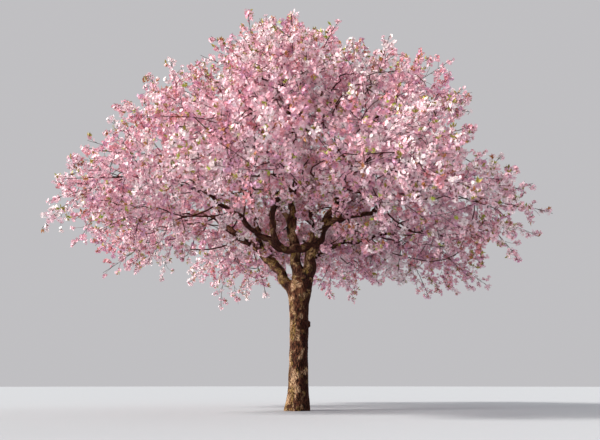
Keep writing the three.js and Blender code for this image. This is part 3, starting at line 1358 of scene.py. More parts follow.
    def grow_sprays(self, bough: Bough) -> list[Spray]:
        """Grows the sprays of one mass: first the solids' own, then finer ones between them.

        Each takes the fork that is nearest, counting part of the way back to the stem. Those that
        the bough and its branchlets carry themselves come last.

        Args:
            bough: the bough that carries the mass.

        Returns:
            The sprays.
        """
        place = self.places[bough.mass]
        stem = self.stem_points(bough, np.array([0.0, *self.stem_shares]))
        foot = stem[0]
        forks = list(stem[1:])
        ways = [float(np.linalg.norm(point - foot)) for point in forks]
        radii = [self.twig] * len(forks)
        towards = list(unit(np.diff(stem, axis=0)))
        taken: list[Array] = []
        sprays: list[Spray] = []
        for rule, seed in ((self.main_sprays, place.seed), (self.fine_sprays, place.seed + 1000)):
            for belly, radius in self.spray_places(place, rule, foot, Draws(seed), taken):
                steps = np.linalg.norm(np.stack(forks) - belly, axis=1)
                pick = int(np.argmin(steps + self.detour * np.array(ways)))
                fork, thick = forks[pick], min(radii[pick], rule.thickest)
                aim = unit(unit(belly - fork) + unit(belly - place.centre) + self.lift * UPWARD)
                neck = belly - self.back * radius * aim
                tip = belly + self.forward * radius * aim
                if not (
                    self.in_own_space(tip[None], 0, place)[0]
                    and self.in_own_space(neck[None], thick, place)[0]
                    and self.clear_of_limbs(neck, tip, radius)
                    and self.clear_of_limbs(fork, neck, thick)
                ):
                    continue
                end = thick * self.thinning
                is_fine = rule is self.fine_sprays
                sprays.append(
                    Spray(fork, towards[pick], neck, tip, aim, radius, thick * self.twig_root, end, is_fine)
                )
                way = ways[pick] + float(np.linalg.norm(neck - fork))
                forks += [neck, belly]
                ways += [way, way + self.back * radius]
                radii += [end, end * self.thinning]
                towards += [aim, aim]
        sprays += self.side_sprays(bough, self.bough_sides)
        for branchlet in self.branchlets.values():
            if branchlet.parent == bough.name:
                sprays += self.side_sprays(branchlet, self.branchlet_sides)
        return sprays


def cubic(first: Array, second: Array, third: Array, fourth: Array, shares: Array) -> Array:
    """Points of cubic bends, for one bend or many at once.

    Args:
        first: (3,) or (n, 3) starts.
        second: the points that pull each start.
        third: the points that pull each end.
        fourth: the ends.
        shares: (k,) from 0 to 1.

    Returns:
        (k, 3) or (n, k, 3) points.
    """
    t = shares[:, None]
    a, b, c, d = (np.asarray(point)[..., None, :] for point in (first, second, third, fourth))
    return (1 - t) ** 3 * a + 3 * t * (1 - t) ** 2 * b + 3 * t * t * (1 - t) * c + t**3 * d


def plan_boughs() -> list[Bough]:
    """The boughs, in the order in which they grow.

    Each row says what carries the bough and at which share of that, its radius there, the compass
    angle and slope at which it leaves, its sway and the number of waves, and the mass at its end.

    Returns:
        The boughs, not grown yet.
    """
    return [
        Bough("right_leader", "trunk", 0.86, 0.142, -4, 58, 0.11, 1.2, "upper_blossom_1"),
        Bough("left_leader", "trunk", 0.92, 0.12, 168, 82, -0.11, 0.8, "top_blossom_2"),
        Bough("left_bough", "trunk", 0.84, 0.122, 184, 44, 0.08, 1, "skirt_blossom_5"),
        Bough("back_bough", "trunk", 0.88, 0.112, 84, 62, 0.08, 1.1, "skirt_blossom_3", fullness=2.6),
        Bough("cross_bough", "right_leader", 0.32, 0.1, 190, -44, -0.09, 0.9, "skirt_blossom_6"),
        Bough("reach_bough", "right_leader", 0.36, 0.074, -2, 46, 0.04, 1.5, "skirt_blossom_1"),
        Bough("near_right_bough", "right_leader", 0.56, 0.062, -60, 22, 0.07, 1.2, "skirt_blossom_8"),
        Bough("near_bough", "cross_bough", 0.34, 0.064, 262, 34, 0.06, 1.1, "skirt_blossom_7"),
        Bough("far_right_bough", "back_bough", 0.36, 0.062, 22, 30, 0.06, 1, "skirt_blossom_2", fullness=2.4),
        Bough(
            "far_left_bough", "left_bough", 0.28, 0.076, 128, 40, -0.07, 1.1, "skirt_blossom_4", fullness=2.4,
        ),
        Bough("right_riser", "reach_bough", 0.24, 0.056, 30, 62, 0.06, 1, "upper_blossom_2", fullness=1.6),
        Bough("back_riser", "back_bough", 0.46, 0.064, 98, 66, -0.06, 1, "upper_blossom_3", fullness=3.4),
        Bough("left_riser", "left_leader", 0.3, 0.066, 164, 48, 0.06, 1.2, "upper_blossom_4"),
        Bough("near_left_riser", "left_bough", 0.4, 0.06, 226, 66, 0.06, 1, "upper_blossom_5"),
        Bough("near_riser", "near_bough", 0.22, 0.048, 284, 66, -0.05, 1, "upper_blossom_6"),
        Bough("top_right_riser", "right_leader", 0.66, 0.06, 40, 74, 0.055, 1.2, "top_blossom_1"),
        Bough("top_near_riser", "left_leader", 0.44, 0.058, 276, 62, -0.055, 1, "top_blossom_3"),
    ]


def plan_branchlets() -> list[Branchlet]:
    """The thin branches that show bare or carry blossom into the inner tree.

    Each row says which bough carries it and at which share of that, its radius there, and its steps:
    the compass angle, climb and length of each.

    Returns:
        The branchlets, not grown yet.
    """
    return [
        Branchlet(
            "thin_branch", "right_leader", 0.27, 0.021,
            ((-25, 4, 0.20), (-38, -8, 0.24), (-40, 6, 0.22), (-30, 24, 0.24), (-18, 30, 0.22)), tip=0.007,
        ),
        Branchlet(
            "stub_branch", "right_leader", 0.36, 0.024,
            ((172, 36, 0.18), (180, 52, 0.16), (196, 64, 0.22)), tip=0.013,
        ),
        Branchlet(
            "drooping_branch", "reach_bough", 0.36, 0.019,
            ((-66, -30, 0.26), (-56, -52, 0.30), (-38, -26, 0.26), (-34, -42, 0.36), (-30, -56, 0.30)),
            tip=0.006,
        ),
        Branchlet(
            "near_side_branch", "near_bough", 0.52, 0.034,
            ((50, 50, 0.26), (20, 62, 0.26), (-4, 34, 0.30), (-16, 46, 0.30)), tip=0.010,
        ),
        Branchlet(
            "left_side_branch", "left_bough", 0.52, 0.034,
            ((250, 26, 0.26), (232, 8, 0.28), (214, 30, 0.30), (200, 12, 0.3)), tip=0.010,
        ),
        Branchlet(
            "leader_side_branch", "right_leader", 0.62, 0.034,
            ((-50, 36, 0.22), (-30, 58, 0.26), (-16, 34, 0.30), (-26, 50, 0.26)), tip=0.010,
        ),
        Branchlet(
            "back_side_branch", "back_bough", 0.50, 0.034,
            ((150, 30, 0.26), (132, 48, 0.28), (146, 20, 0.30), (160, 36, 0.28)), tip=0.010,
        ),
        Branchlet(
            "far_side_branch", "far_right_bough", 0.40, 0.030,
            ((-30, 20, 0.26), (-14, 36, 0.28), (-28, 12, 0.30)), tip=0.010,
        ),
        Branchlet(
            "back_inner_branch", "back_riser", 0.34, 0.024,
            ((172, 30, 0.32), (156, 10, 0.34), (170, 24, 0.34), (150, 10, 0.30)), tip=0.008, fullness=2.6,
        ),
        Branchlet(
            "back_cross_branch", "back_riser", 0.42, 0.024,
            ((8, 30, 0.32), (26, 8, 0.34), (10, 22, 0.34), (30, 8, 0.30)), tip=0.008, fullness=2.6,
        ),
        Branchlet(
            "back_low_branch", "back_bough", 0.68, 0.024,
            ((176, 14, 0.34), (158, -16, 0.36), (172, -4, 0.36), (160, -20, 0.34)), tip=0.008, fullness=2.6,
        ),
        Branchlet(
            "back_hanging_branch", "back_bough", 0.62, 0.024,
            ((4, 10, 0.34), (24, -18, 0.36), (8, -6, 0.36), (20, -22, 0.34)), tip=0.008, fullness=2.6,
        ),
        Branchlet(
            "near_cross_branch", "near_bough", 0.74, 0.026,
            ((208, 10, 0.34), (224, -6, 0.36), (232, 6, 0.38), (244, -8, 0.36)), tip=0.009, fullness=2.6,
        ),
        Branchlet(
            "near_reach_branch", "reach_bough", 0.66, 0.026,
            ((-52, 12, 0.32), (-36, -4, 0.34), (-48, 8, 0.34)), tip=0.009, fullness=2.4,
        ),
    ]


@dataclass
class BarkWork:
    """Dresses the trunk and boughs in bark, and melts each limb into what carries it."""

    plan: CrownPlan
    relief: BarkRelief = BarkRelief()
    melt: float = 0.9
    child_stretch: float = 0.3
    parent_stretch: float = 0.15
    lichen_size: float = 0.15
    # how far the lichen, partly a painted highlight, crowds to the side towards the light
    lichen_and_highlight_lean: float = 0.5
    lichen_edge: Pair = (0.02, 0.58)
    lichen_girth: Pair = (0.02, 0.09)
    # painted shade on the side away from the light: how ragged its edge is, and where it starts and is full
    painted_shade_ragged: float = 0.35
    painted_shade_edge: Pair = (-0.02, 0.4)
    # the ways to the light: the lichen's painted highlight lies towards them, the painted shade away from
    # them
    trunk_light: Triple = (-0.82, -0.50, 0.27)
    bough_light: Triple = (-0.50, -0.35, 0.79)

    def __post_init__(self) -> None:
        """Makes the noise and the two barks."""
        self.noise = Roughness(23)
        self.barks = {kind: kind.value.build() for kind in BarkKind}

    def neighbours(self, owner: Trunk | Limb) -> list[tuple[Array, Array, float]]:
        """The wood that meets a limb: its parent, its children, and others from the same parent.

        Args:
            owner: the trunk or a limb.

        Returns:
            For each, its beads near the joint, their radii and how far the joint melts.
        """
        found = []
        for limb in self.plan.limbs.values():
            if limb is not owner and limb.parent in (owner.name, getattr(owner, "parent", "")):
                found.append((*limb.beads(0.0, self.child_stretch), self.melt * limb.root))
        if isinstance(owner, Limb):
            parent = self.plan.boughs.get(owner.parent, self.plan.trunk)
            beads = parent.beads(owner.share - self.parent_stretch, owner.share + self.parent_stretch)
            found.append((*beads, self.melt * owner.root))
        return found

    def melted(self, points: Array, owner: Trunk | Limb) -> Array:
        """How far each point of a skin is lifted so that joints are rounded.

        With d the distance to the other limb's surface and k the reach of the joint, the lift is
        k / 4 times the square of 1 - d / k, and nothing where d is over k.

        Args:
            points: (n, 3) points of the skin.
            owner: whose skin it is.

        Returns:
            (n,) lifts.
        """
        lift = np.zeros(len(points))
        own = np.einsum("ij,ij->i", points, points)
        for middles, radii, reach in self.neighbours(owner):
            squares = own[:, None] + np.einsum("ij,ij->i", middles, middles) - 2 * points @ middles.T
            away = (np.sqrt(np.maximum(squares, 0)) - radii).min(axis=1)
            lift = np.maximum(lift, reach / 4 * np.clip(1 - np.abs(away) / reach, 0, 1) ** 2)
        return lift

    def scarred(self, skin: Skin, scars: tuple[Scar, ...]) -> tuple[Array, Array]:
        """The lift and darkness that scars add to a skin.

        Args:
            skin: the surface of the trunk or a limb.
            scars: its scars or knots.

        Returns:
            The lift and the darkness for each point.
        """
        lift, dark = np.zeros(skin.girth.shape), np.zeros(skin.girth.shape)
        turn = np.arctan2(skin.grain[..., 1], skin.grain[..., 0])
        for scar in scars:
            away = turn - math.radians(scar.compass)
            across = skin.girth * ((away + math.pi) % FULL_TURN - math.pi)
            more, darker = scar.relief(across, skin.grain[..., 2] - scar.height)
            lift, dark = lift + more, np.maximum(dark, darker)
        return lift, dark

    def lichen_highlight_and_shade(self, skin: Skin, side: Array) -> tuple[Array, Array]:
        """Where lichen grows, partly as a painted highlight, and where the bark gets painted shade.

        Lichen grows in patches, most on the side that faces the light, where it also stands as a painted
        highlight. The side away from the light is darkened as painted shade, with an uneven edge that the
        same patches give it.

        Args:
            skin: the surface.
            side: the way to the light.

        Returns:
            The lichen's cover, partly a painted highlight, and the painted shade, 0 to 1.
        """
        grain = skin.grain.reshape(-1, 3)
        cells = grain / (self.lichen_size, self.lichen_size, 1.3 * self.lichen_size)
        patch = self.noise.layered(cells + 5.5, 3)
        facing = (skin.outward @ side).ravel()
        # lichen patches pushed to the side towards the light, partly as a painted highlight
        lichen_and_highlight = eased(patch + self.lichen_and_highlight_lean * facing, *self.lichen_edge)
        lichen_and_highlight = lichen_and_highlight * eased(skin.girth.ravel(), *self.lichen_girth)
        # painted shade: strongest on the side away from the light, with a ragged edge
        painted_shade = eased(-facing - self.painted_shade_ragged * patch, *self.painted_shade_edge)
        return lichen_and_highlight.reshape(skin.girth.shape), painted_shade.reshape(skin.girth.shape)

    def dress(self, owner: Trunk | Limb) -> None:
        """Makes the bark of one limb as a piece.

        Args:
            owner: the trunk or a limb.
        """
        skin = owner.skin()
        rings, sides = skin.girth.shape
        height, cleft = self.relief.at(skin, self.noise)
        scar_lift, scar_dark = self.scarred(skin, owner.knots())
        melt = self.melted(skin.points.reshape(-1, 3), owner).reshape(rings, sides)
        points = skin.points + skin.outward * (height + scar_lift + melt)[..., None]
        points = np.concatenate([points.reshape(-1, 3), owner.poles()])
        kind, light, slot = (
            (BarkKind.TRUNK, self.trunk_light, "bark")
            if isinstance(owner, Trunk)
            else (BarkKind.BOUGH, self.bough_light, "bough_bark")
        )
        faces = grid_triangles(rings, sides)
        piece = make_piece(f"{owner.name}_bark", points, faces, [self.barks[kind]], True)
        # lichen, partly a painted highlight, and painted shade on the side away from the light
        lichen_and_highlight, painted_shade = self.lichen_highlight_and_shade(skin, np.array(light))
        for name, values in (
            ("grain", skin.grain),
            # painted shade: how deep each point lies in a fissure or scar hollow, for the bark to darken
            ("cleft", np.maximum(cleft, scar_dark)),
            ("lichen_and_highlight", lichen_and_highlight),
            # painted shade on the side away from the light
            ("painted_shade", painted_shade),
        ):
            flat = values.reshape(rings * sides, *values.shape[2:])
            store(piece, name, np.concatenate([flat, flat[:1], flat[-1:]]))
        seat(piece, owner.node)


def tubes(paths: Array, radii: Array, sides: int) -> tuple[Array, Array]:
    """Closed tubes along many paths at once.

    Each ring is a regular polygon across the path's own direction. A point closes each end, or one
    triangle where the rings have three corners.

    Args:
        paths: (n, k, 3) points that the tubes follow.
        radii: (n, k) radius at each.
        sides: corners of a ring.

    Returns:
        The corners and triangles of all the tubes.
    """
    count, rings = radii.shape
    along = unit(np.gradient(paths, axis=1))
    chord = unit(paths[:, -1] - paths[:, 0])
    aside = np.eye(3)[np.abs(chord).argmin(axis=1)][:, None]
    first = unit(aside - np.sum(aside * along, axis=2, keepdims=True) * along)
    second = np.cross(along, first)
    turn = (FULL_TURN * np.arange(sides) / sides)[:, None]
    outward = np.cos(turn) * first[:, :, None] + np.sin(turn) * second[:, :, None]
    points = (paths[:, :, None] + outward * radii[..., None, None]).reshape(count, -1, 3)
    if sides > 3:
        ends = np.stack([paths[:, 0], paths[:, -1] + along[:, -1] * radii[:, -1:]], axis=1)
        points = np.concatenate([points, ends], axis=1)
    pattern = grid_triangles(rings, sides)
    starts = np.arange(count)[:, None, None] * points.shape[1]
    return points.reshape(-1, 3), (pattern + starts).reshape(-1, 3)


@dataclass
class Sites:
    """Places on the twigs where clusters of flowers sit: the point, the way out, and the spray's tone."""

    points: list[Array] = field(default_factory=list)
    outward: list[Array] = field(default_factory=list)
    tones: list[Array] = field(default_factory=list)

    def add(self, points: Array, outward: Array, tones: Array) -> None:
        """Adds places.

        Args:
            points: (n, 3) points on twigs.
            outward: (n, 3) ways out from the twig.
            tones: (n,) tone of each spray.
        """
        self.points.append(points.reshape(-1, 3))
        self.outward.append(unit(outward.reshape(-1, 3)))
        self.tones.append(tones.ravel())

    def joined(self) -> tuple[Array, Array, Array]:
        """All the places as three arrays."""
        return np.concatenate(self.points), np.concatenate(self.outward), np.concatenate(self.tones)


def gathered(sprays: list[Spray], *names: str) -> list[Array]:
    """One array for each named field of many sprays."""
    return [np.stack([getattr(spray, name) for spray in sprays]) for name in names]


@dataclass
class TwigWork:
    """The twigs of one mass: its stem, a twig and side shoots to each spray, whips and side limbs."""

    plan: CrownPlan
    stem_sides: int = 8
    stem_rings: int = 14
    twig_sides: int = 4
    fine_rings: tuple[int, ...] = (0, 2, 5, 7, 9)
    bury: float = 0.05
    stem_thinning: float = 0.6
    stem_slack: float = 0.99
    twig_follow: float = 0.7
    twig_pull: float = 0.3
    spray_bow: float = 0.12
    spray_droop: float = 0.05
    belly_at: float = 0.39
    shoots_to: float = 0.86
    shoot_span: Pair = (0.16, 0.30)
    shoot_length: Pair = (0.75, 1.08)
    shoot_root: float = 0.0046
    shoot_tip: float = 0.0022
    axis_tip: float = 0.0042
    main_shoots: int = 7
    fine_shoots: int = 4
    neck_share: float = NECK_POINT / (AXIS_POINTS - 1)
    whip_length: Pair = (0.7, 1.5)
    whip_rise: float = 0.03
    whip_follow: Pair = (0.6, 0.5)
    whip_pulls: Pair = (0.35, 0.3)
    whip_stray: float = 0.3
    whip_rings: int = 9
    whip_tip: float = 0.0042
    whip_knots: tuple[int, ...] = (3, 5, 6, 7)
    runner_count: int = 5
    runner_shares: Pair = (0.62, 0.97)
    runner_depth: float = 0.8
    runner_radii: Pair = (0.020, 0.005)
    runner_crook: float = 0.028
    runner_picks: int = 8
    runner_taper: float = 0.8
    runner_girths: Pair = (0.75, 1.1)
    runner_sides: int = 6
    runner_rings: int = 18
    runner_knots: tuple[int, ...] = (8, 11, 13, 14, 15, 16)
    farthest: float = 1.15

    def __post_init__(self) -> None:
        """Makes the woods."""
        self.woods = [kind.value.build() for kind in TwigTint]

    def spray_axes(self, sprays: list[Spray], rng: np.random.Generator) -> Array:
        """Smooth lines from each fork through the neck to the tip.

        From fork to neck a cubic that leaves along the parent twig and arrives along the spray's aim.
        From neck to tip a line with a little bow and droop that grows with the square of the way.

        Args:
            sprays: the sprays.
            rng: seeded draws.

        Returns:
            (n, 10, 3) points: the sixth is the neck.
        """
        fork, neck, tip, aim, way = gathered(sprays, "fork", "neck", "tip", "aim", "fork_way")
        gap = np.linalg.norm(neck - fork, axis=1, keepdims=True)
        near = fork + unit(unit(neck - fork) + self.twig_follow * way) * gap * self.twig_pull
        far = neck - aim * gap * self.twig_pull
        first = cubic(fork, near, far, neck, np.linspace(0, 1, NECK_POINT + 1))
        share = np.linspace(0, 1, AXIS_POINTS - NECK_POINT)[1:, None]
        bow = unit(rng.normal(size=aim.shape)) * np.linalg.norm(tip - neck, axis=1, keepdims=True)
        second = neck[:, None] + (tip - neck)[:, None] * share
        second = second + self.spray_bow * bow[:, None] * share * (1 - share) * 2
        second = second - self.spray_droop * np.abs(bow).sum(axis=1)[:, None, None] * UPWARD * share**2
        return np.concatenate([first, second], axis=1)

    def shoots(
        self, sprays: list[Spray], axes: Array, count: int, rng: np.random.Generator
    ) -> tuple[Array, Array]:
        """The side shoots of sprays: each a bend from the axis out to the spray's skin.

        They go round the axis by the golden angle. The spray's skin swells to its radius at its belly
        and falls to about a seventh of that at the tip.

        Args:
            sprays: the sprays.
            axes: their lines.
            count: shoots on each.
            rng: seeded draws.

        Returns:
            (n, count, 3, 3) points of the shoots, and (n, count, 3) directions out from the axis.
        """
        aim, radius = gathered(sprays, "aim", "radius")
        across = unit(np.cross(aim, UPWARD + 0.1 * aim))
        over = np.cross(aim, across)
        step = np.arange(count)[None]
        shape = (len(sprays), count)
        turn = GOLDEN_TURN * step + rng.uniform(0, FULL_TURN, (len(sprays), 1)) + rng.normal(0, 0.3, shape)
        out = np.cos(turn)[..., None] * across[:, None] + np.sin(turn)[..., None] * over[:, None]
        leave = (step + 0.2) / count * self.shoots_to + rng.uniform(-0.03, 0.03, shape)
        reach = np.clip(leave + rng.uniform(*self.shoot_span, shape), 0, 1)
        full = self.belly_at
        skin = np.where(reach < full, between(0.45, 1.0, reach / full), 1 - ((reach - full) / 0.66) ** 2)
        wide = radius[:, None] * np.clip(skin, 0.12, 1) * rng.uniform(*self.shoot_length, shape)
        start = on_axis(axes, leave)
        end = on_axis(axes, reach) + out * wide[..., None] + rng.normal(0, 0.02, (*shape, 3))
        run = np.linalg.norm(end - start, axis=2, keepdims=True)
        pull = start + (0.55 * aim[:, None] + 0.35 * out) * run * 0.5
        arrive = end - unit(out + 0.4 * aim[:, None] + 0.25 * UPWARD) * run * 0.3
        line = cubic(start, pull, arrive, end, np.array([0.0, 0.5, 1.0]))
        return line, out

    def whips(
        self, mass: MassPlace, sprays: list[Spray], rng: np.random.Generator
    ) -> tuple[Array, Array]:
        """Long whips, nearly bare, over the blossom: each main spray's twig goes on to another's tip.

        Each is a cubic that leaves along its own spray's aim, as thick as the twig is at its neck, and
        arrives along the aim of the other. Its middle is lifted away from the middle of the mass, by
        the rise times its length squared times sin(pi t).

        Args:
            mass: the mass.
            sprays: the sprays, the main ones first.
            rng: seeded draws.

        Returns:
            The points of the whips, and their radii.
        """
        necks, tips, aims = gathered(sprays, "neck", "tip", "aim")
        ends = np.array([[spray.end] for spray in sprays if not spray.is_fine])
        count = len(ends)
        away = np.linalg.norm(necks[:count, None] - tips[None], axis=2)
        away[:, self.outside(mass, tips)] = np.inf
        np.fill_diagonal(away, np.inf)
        others = np.abs(away - rng.uniform(*self.whip_length, (count, 1))).argmin(axis=1)
        start, end = necks[:count], tips[others]
        run = np.linalg.norm(end - start, axis=1, keepdims=True)
        along = (end - start) / run
        leave = unit(self.whip_follow[0] * aims[:count] + along)
        stray = self.whip_stray * rng.normal(size=start.shape)
        arrive = unit(self.whip_follow[1] * aims[others] + along + stray)
        near = start + self.whip_pulls[0] * run * leave
        far = end - self.whip_pulls[1] * run * arrive
        shares = np.linspace(0, 1, self.whip_rings)
        lines = cubic(start, near, far, end, shares)
        lift = self.whip_rise * run[:, None] ** 2 * np.sin(math.pi * shares)[:, None]
        lines = lines + lift * unit(lines - mass.centre)
        return lines, between(ends, self.whip_tip, shares)

    def outside(self, mass: MassPlace, points: Array) -> Array:
        """Which points lie beyond the reach of a mass, as those of its bough's own sprays do."""
        return np.linalg.norm((points - mass.centre) / mass.tier.reach, axis=1) > self.farthest

    def runners(
        self, bough: Bough, mass: MassPlace, sprays: list[Spray], rng: np.random.Generator
    ) -> tuple[Array, Array]:
        """Stout side limbs that leave the bough before its tip and run out along the skin of the mass.

        Seen from the middle of the mass, each turns from the way to its start to the way to the tip of
        a far spray, through a third way across both: the three weigh 1 - t, t and sin(pi t). The third
        ways are dealt out evenly all round. Half-way each is the runner's depth times the reach of the
        mass away from its middle. Small crooks are added, which die away at both ends.

        Args:
            bough: the bough that carries the mass.
            mass: the mass.
            sprays: the sprays.
            rng: seeded draws.

        Returns:
            The points of the runners, and their radii.
        """
        start = bough.crooked(np.linspace(*self.runner_shares, self.runner_count))
        tips = np.stack([spray.tip for spray in sprays])
        tips = tips[~self.outside(mass, tips)]
        far = np.argsort(-np.linalg.norm(tips - start[-1], axis=1))[: self.runner_picks * self.runner_count]
        end = tips[rng.permutation(far)[: self.runner_count]]
        first, last = ((point - mass.centre)[:, None] / mass.tier.reach for point in (start, end))
        turn = FULL_TURN * (np.arange(self.runner_count) / self.runner_count + rng.uniform())[:, None, None]
        side = unit(np.cross(last - first, UPWARD))
        third = np.cos(turn) * side + np.sin(turn) * unit(np.cross(side, last - first))
        t = np.linspace(0, 1, self.runner_rings)[:, None]
        swing = np.sin(math.pi * t)
        way = unit(between(unit(first), unit(last), t) + swing * third)
        away = between(*(np.linalg.norm(point, axis=2, keepdims=True) for point in (first, last)), t)
        crook = self.runner_crook * swing * rng.normal(size=way.shape)
        lines = mass.centre + way * between(away, self.runner_depth, swing) * mass.tier.reach + crook
        radii = between(*self.runner_radii, t[:, 0] ** self.runner_taper)
        return lines, radii * rng.uniform(*self.runner_girths, (len(end), 1))

    def build(self, bough: Bough, sprays: list[Spray]) -> Sites:
        """Makes the twigs of a mass as one piece.

        Args:
            bough: the bough that carries the mass.
            sprays: its sprays.

        Returns:
            Where clusters of flowers sit.
        """
        rng = np.random.default_rng(self.plan.places[bough.mass].seed)
        shares = np.linspace(0, 1, self.stem_rings)
        stem = self.plan.stem_points(bough, shares)
        stem[0] -= self.bury * bough.line.direction(1.0)
        stem_tip = self.plan.stem_tip * self.stem_thinning
        stem_radii = between(bough.tip, stem_tip, shares) * self.stem_slack
        parts = [tubes(stem[None], stem_radii[None], self.stem_sides)]
        kinds = [STEM_WOOD]
        sites = Sites()
        for fine, shoot_count in ((False, self.main_shoots), (True, self.fine_shoots)):
            group = [spray for spray in sprays if spray.is_fine is fine]
            if not group:
                continue
            axes = self.spray_axes(group, rng)
            root, end = (values[:, None] for values in gathered(group, "root", "end"))
            share = np.linspace(0, 1, axes.shape[1])[None]
            beyond = (share - self.neck_share) / (1 - self.neck_share)
            radii = np.where(
                beyond < 0, between(root, end, share / self.neck_share), between(end, self.axis_tip, beyond)
            )
            kept = list(self.fine_rings) if fine else slice(None)
            parts.append(tubes(axes[:, kept], radii[:, kept], 3 if fine else self.twig_sides))
            kinds.append(TWIG_WOOD)
            tones = rng.uniform(0, 1, len(group))
            lines, out = self.shoots(group, axes, shoot_count, rng)
            flat = lines.reshape(-1, *lines.shape[2:])
            widths = np.linspace(self.shoot_root, self.shoot_tip, flat.shape[1])
            parts.append(tubes(flat, np.tile(widths, (len(flat), 1)), 3))
            kinds.append(SHOOT_WOOD)
            for place in (lines[:, :, 1], (lines[:, :, 1] + lines[:, :, 2]) / 2, lines[:, :, 2]):
                sites.add(place, out, np.repeat(tones, shoot_count))
            outer, inner = axes[:, NECK_POINT:], axes[:, NECK_POINT - 2 : NECK_POINT]
            spread = unit(rng.normal(size=outer.shape))
            sites.add(outer, spread, np.repeat(tones, outer.shape[1]))
            sites.add(inner, spread[:, :2], np.repeat(tones, 2))
        mass = self.plan.places[bough.mass]
        for (lines, radii), sides, kind, knots in (
            (self.whips(mass, sprays, rng), self.twig_sides, TWIG_WOOD, self.whip_knots),
            (self.runners(bough, mass, sprays, rng), self.runner_sides, STEM_WOOD, self.runner_knots),
        ):
            parts.append(tubes(lines, radii, sides))
            kinds.append(kind)
            spread = unit(rng.normal(size=(len(lines), len(knots), 3)))
            tones = rng.uniform(0, 1, len(lines))
            sites.add(lines[:, list(knots)], spread, np.repeat(tones, len(knots)))
        counts = np.cumsum([0] + [len(points) for points, _ in parts])
        points = np.concatenate([part[0] for part in parts])
        triangles = np.concatenate([part[1] + start for part, start in zip(parts, counts)])
        piece = make_piece(f"{bough.mass}_twigs", points, triangles, self.woods, True)
        deal = np.concatenate([np.full(len(part[1]), kind) for part, kind in zip(parts, kinds)])
        piece.data.polygons.foreach_set("material_index", deal.astype(np.int32))
        seat(piece, bough.mass)
        return sites


def on_axis(axes: Array, shares: Array) -> Array:
    """Points on the blossoming part of spray axes, from the neck to the tip.

    Args:
        axes: (n, 10, 3) lines whose sixth point is the neck.
        shares: (n, m) from 0 at the neck to 1 at the tip.

    Returns:
        (n, m, 3) points.
    """
    part = axes[:, NECK_POINT:]
    place = np.clip(shares, 0, 1) * (part.shape[1] - 1)
    low = np.minimum(place.astype(int), part.shape[1] - 2)
    rest = (place - low)[..., None]
    rows = np.arange(len(part))[:, None]
    return part[rows, low] * (1 - rest) + part[rows, low + 1] * rest


class Petal(Enum):
    """How a petal is drawn: its corners as (out, aside, high) in shares of the flower's size."""

    NOTCHED = ((0.90, -0.47, 0.52), (0.82, 0.0, 0.40), (0.90, 0.47, 0.52))
    PLAIN = ((0.94, -0.50, 0.48), (0.94, 0.50, 0.48))

    def flower(self, petals: int) -> tuple[Array, Array]:
        """One flower of unit size that faces up: petals fanned round a sunken middle.

        Args:
            petals: how many petals.

        Returns:
            Its corners and triangles.
        """
        turns = FULL_TURN * np.arange(petals) / petals
        out, aside, high = (np.array(row)[None] for row in zip(*self.value))
        x = out * np.cos(turns)[:, None] - aside * np.sin(turns)[:, None]
        y = out * np.sin(turns)[:, None] + aside * np.cos(turns)[:, None]
        rim = np.stack([x, y, np.broadcast_to(high, x.shape)], -1).reshape(-1, 3)
        each = len(self.value)
        first = 1 + each * np.arange(petals)[:, None] + np.arange(each - 1)[None]
        faces = np.stack([np.zeros_like(first), first, first + 1], -1).reshape(-1, 3)
        return np.concatenate([[(0.0, 0.0, -0.12)], rim]), faces


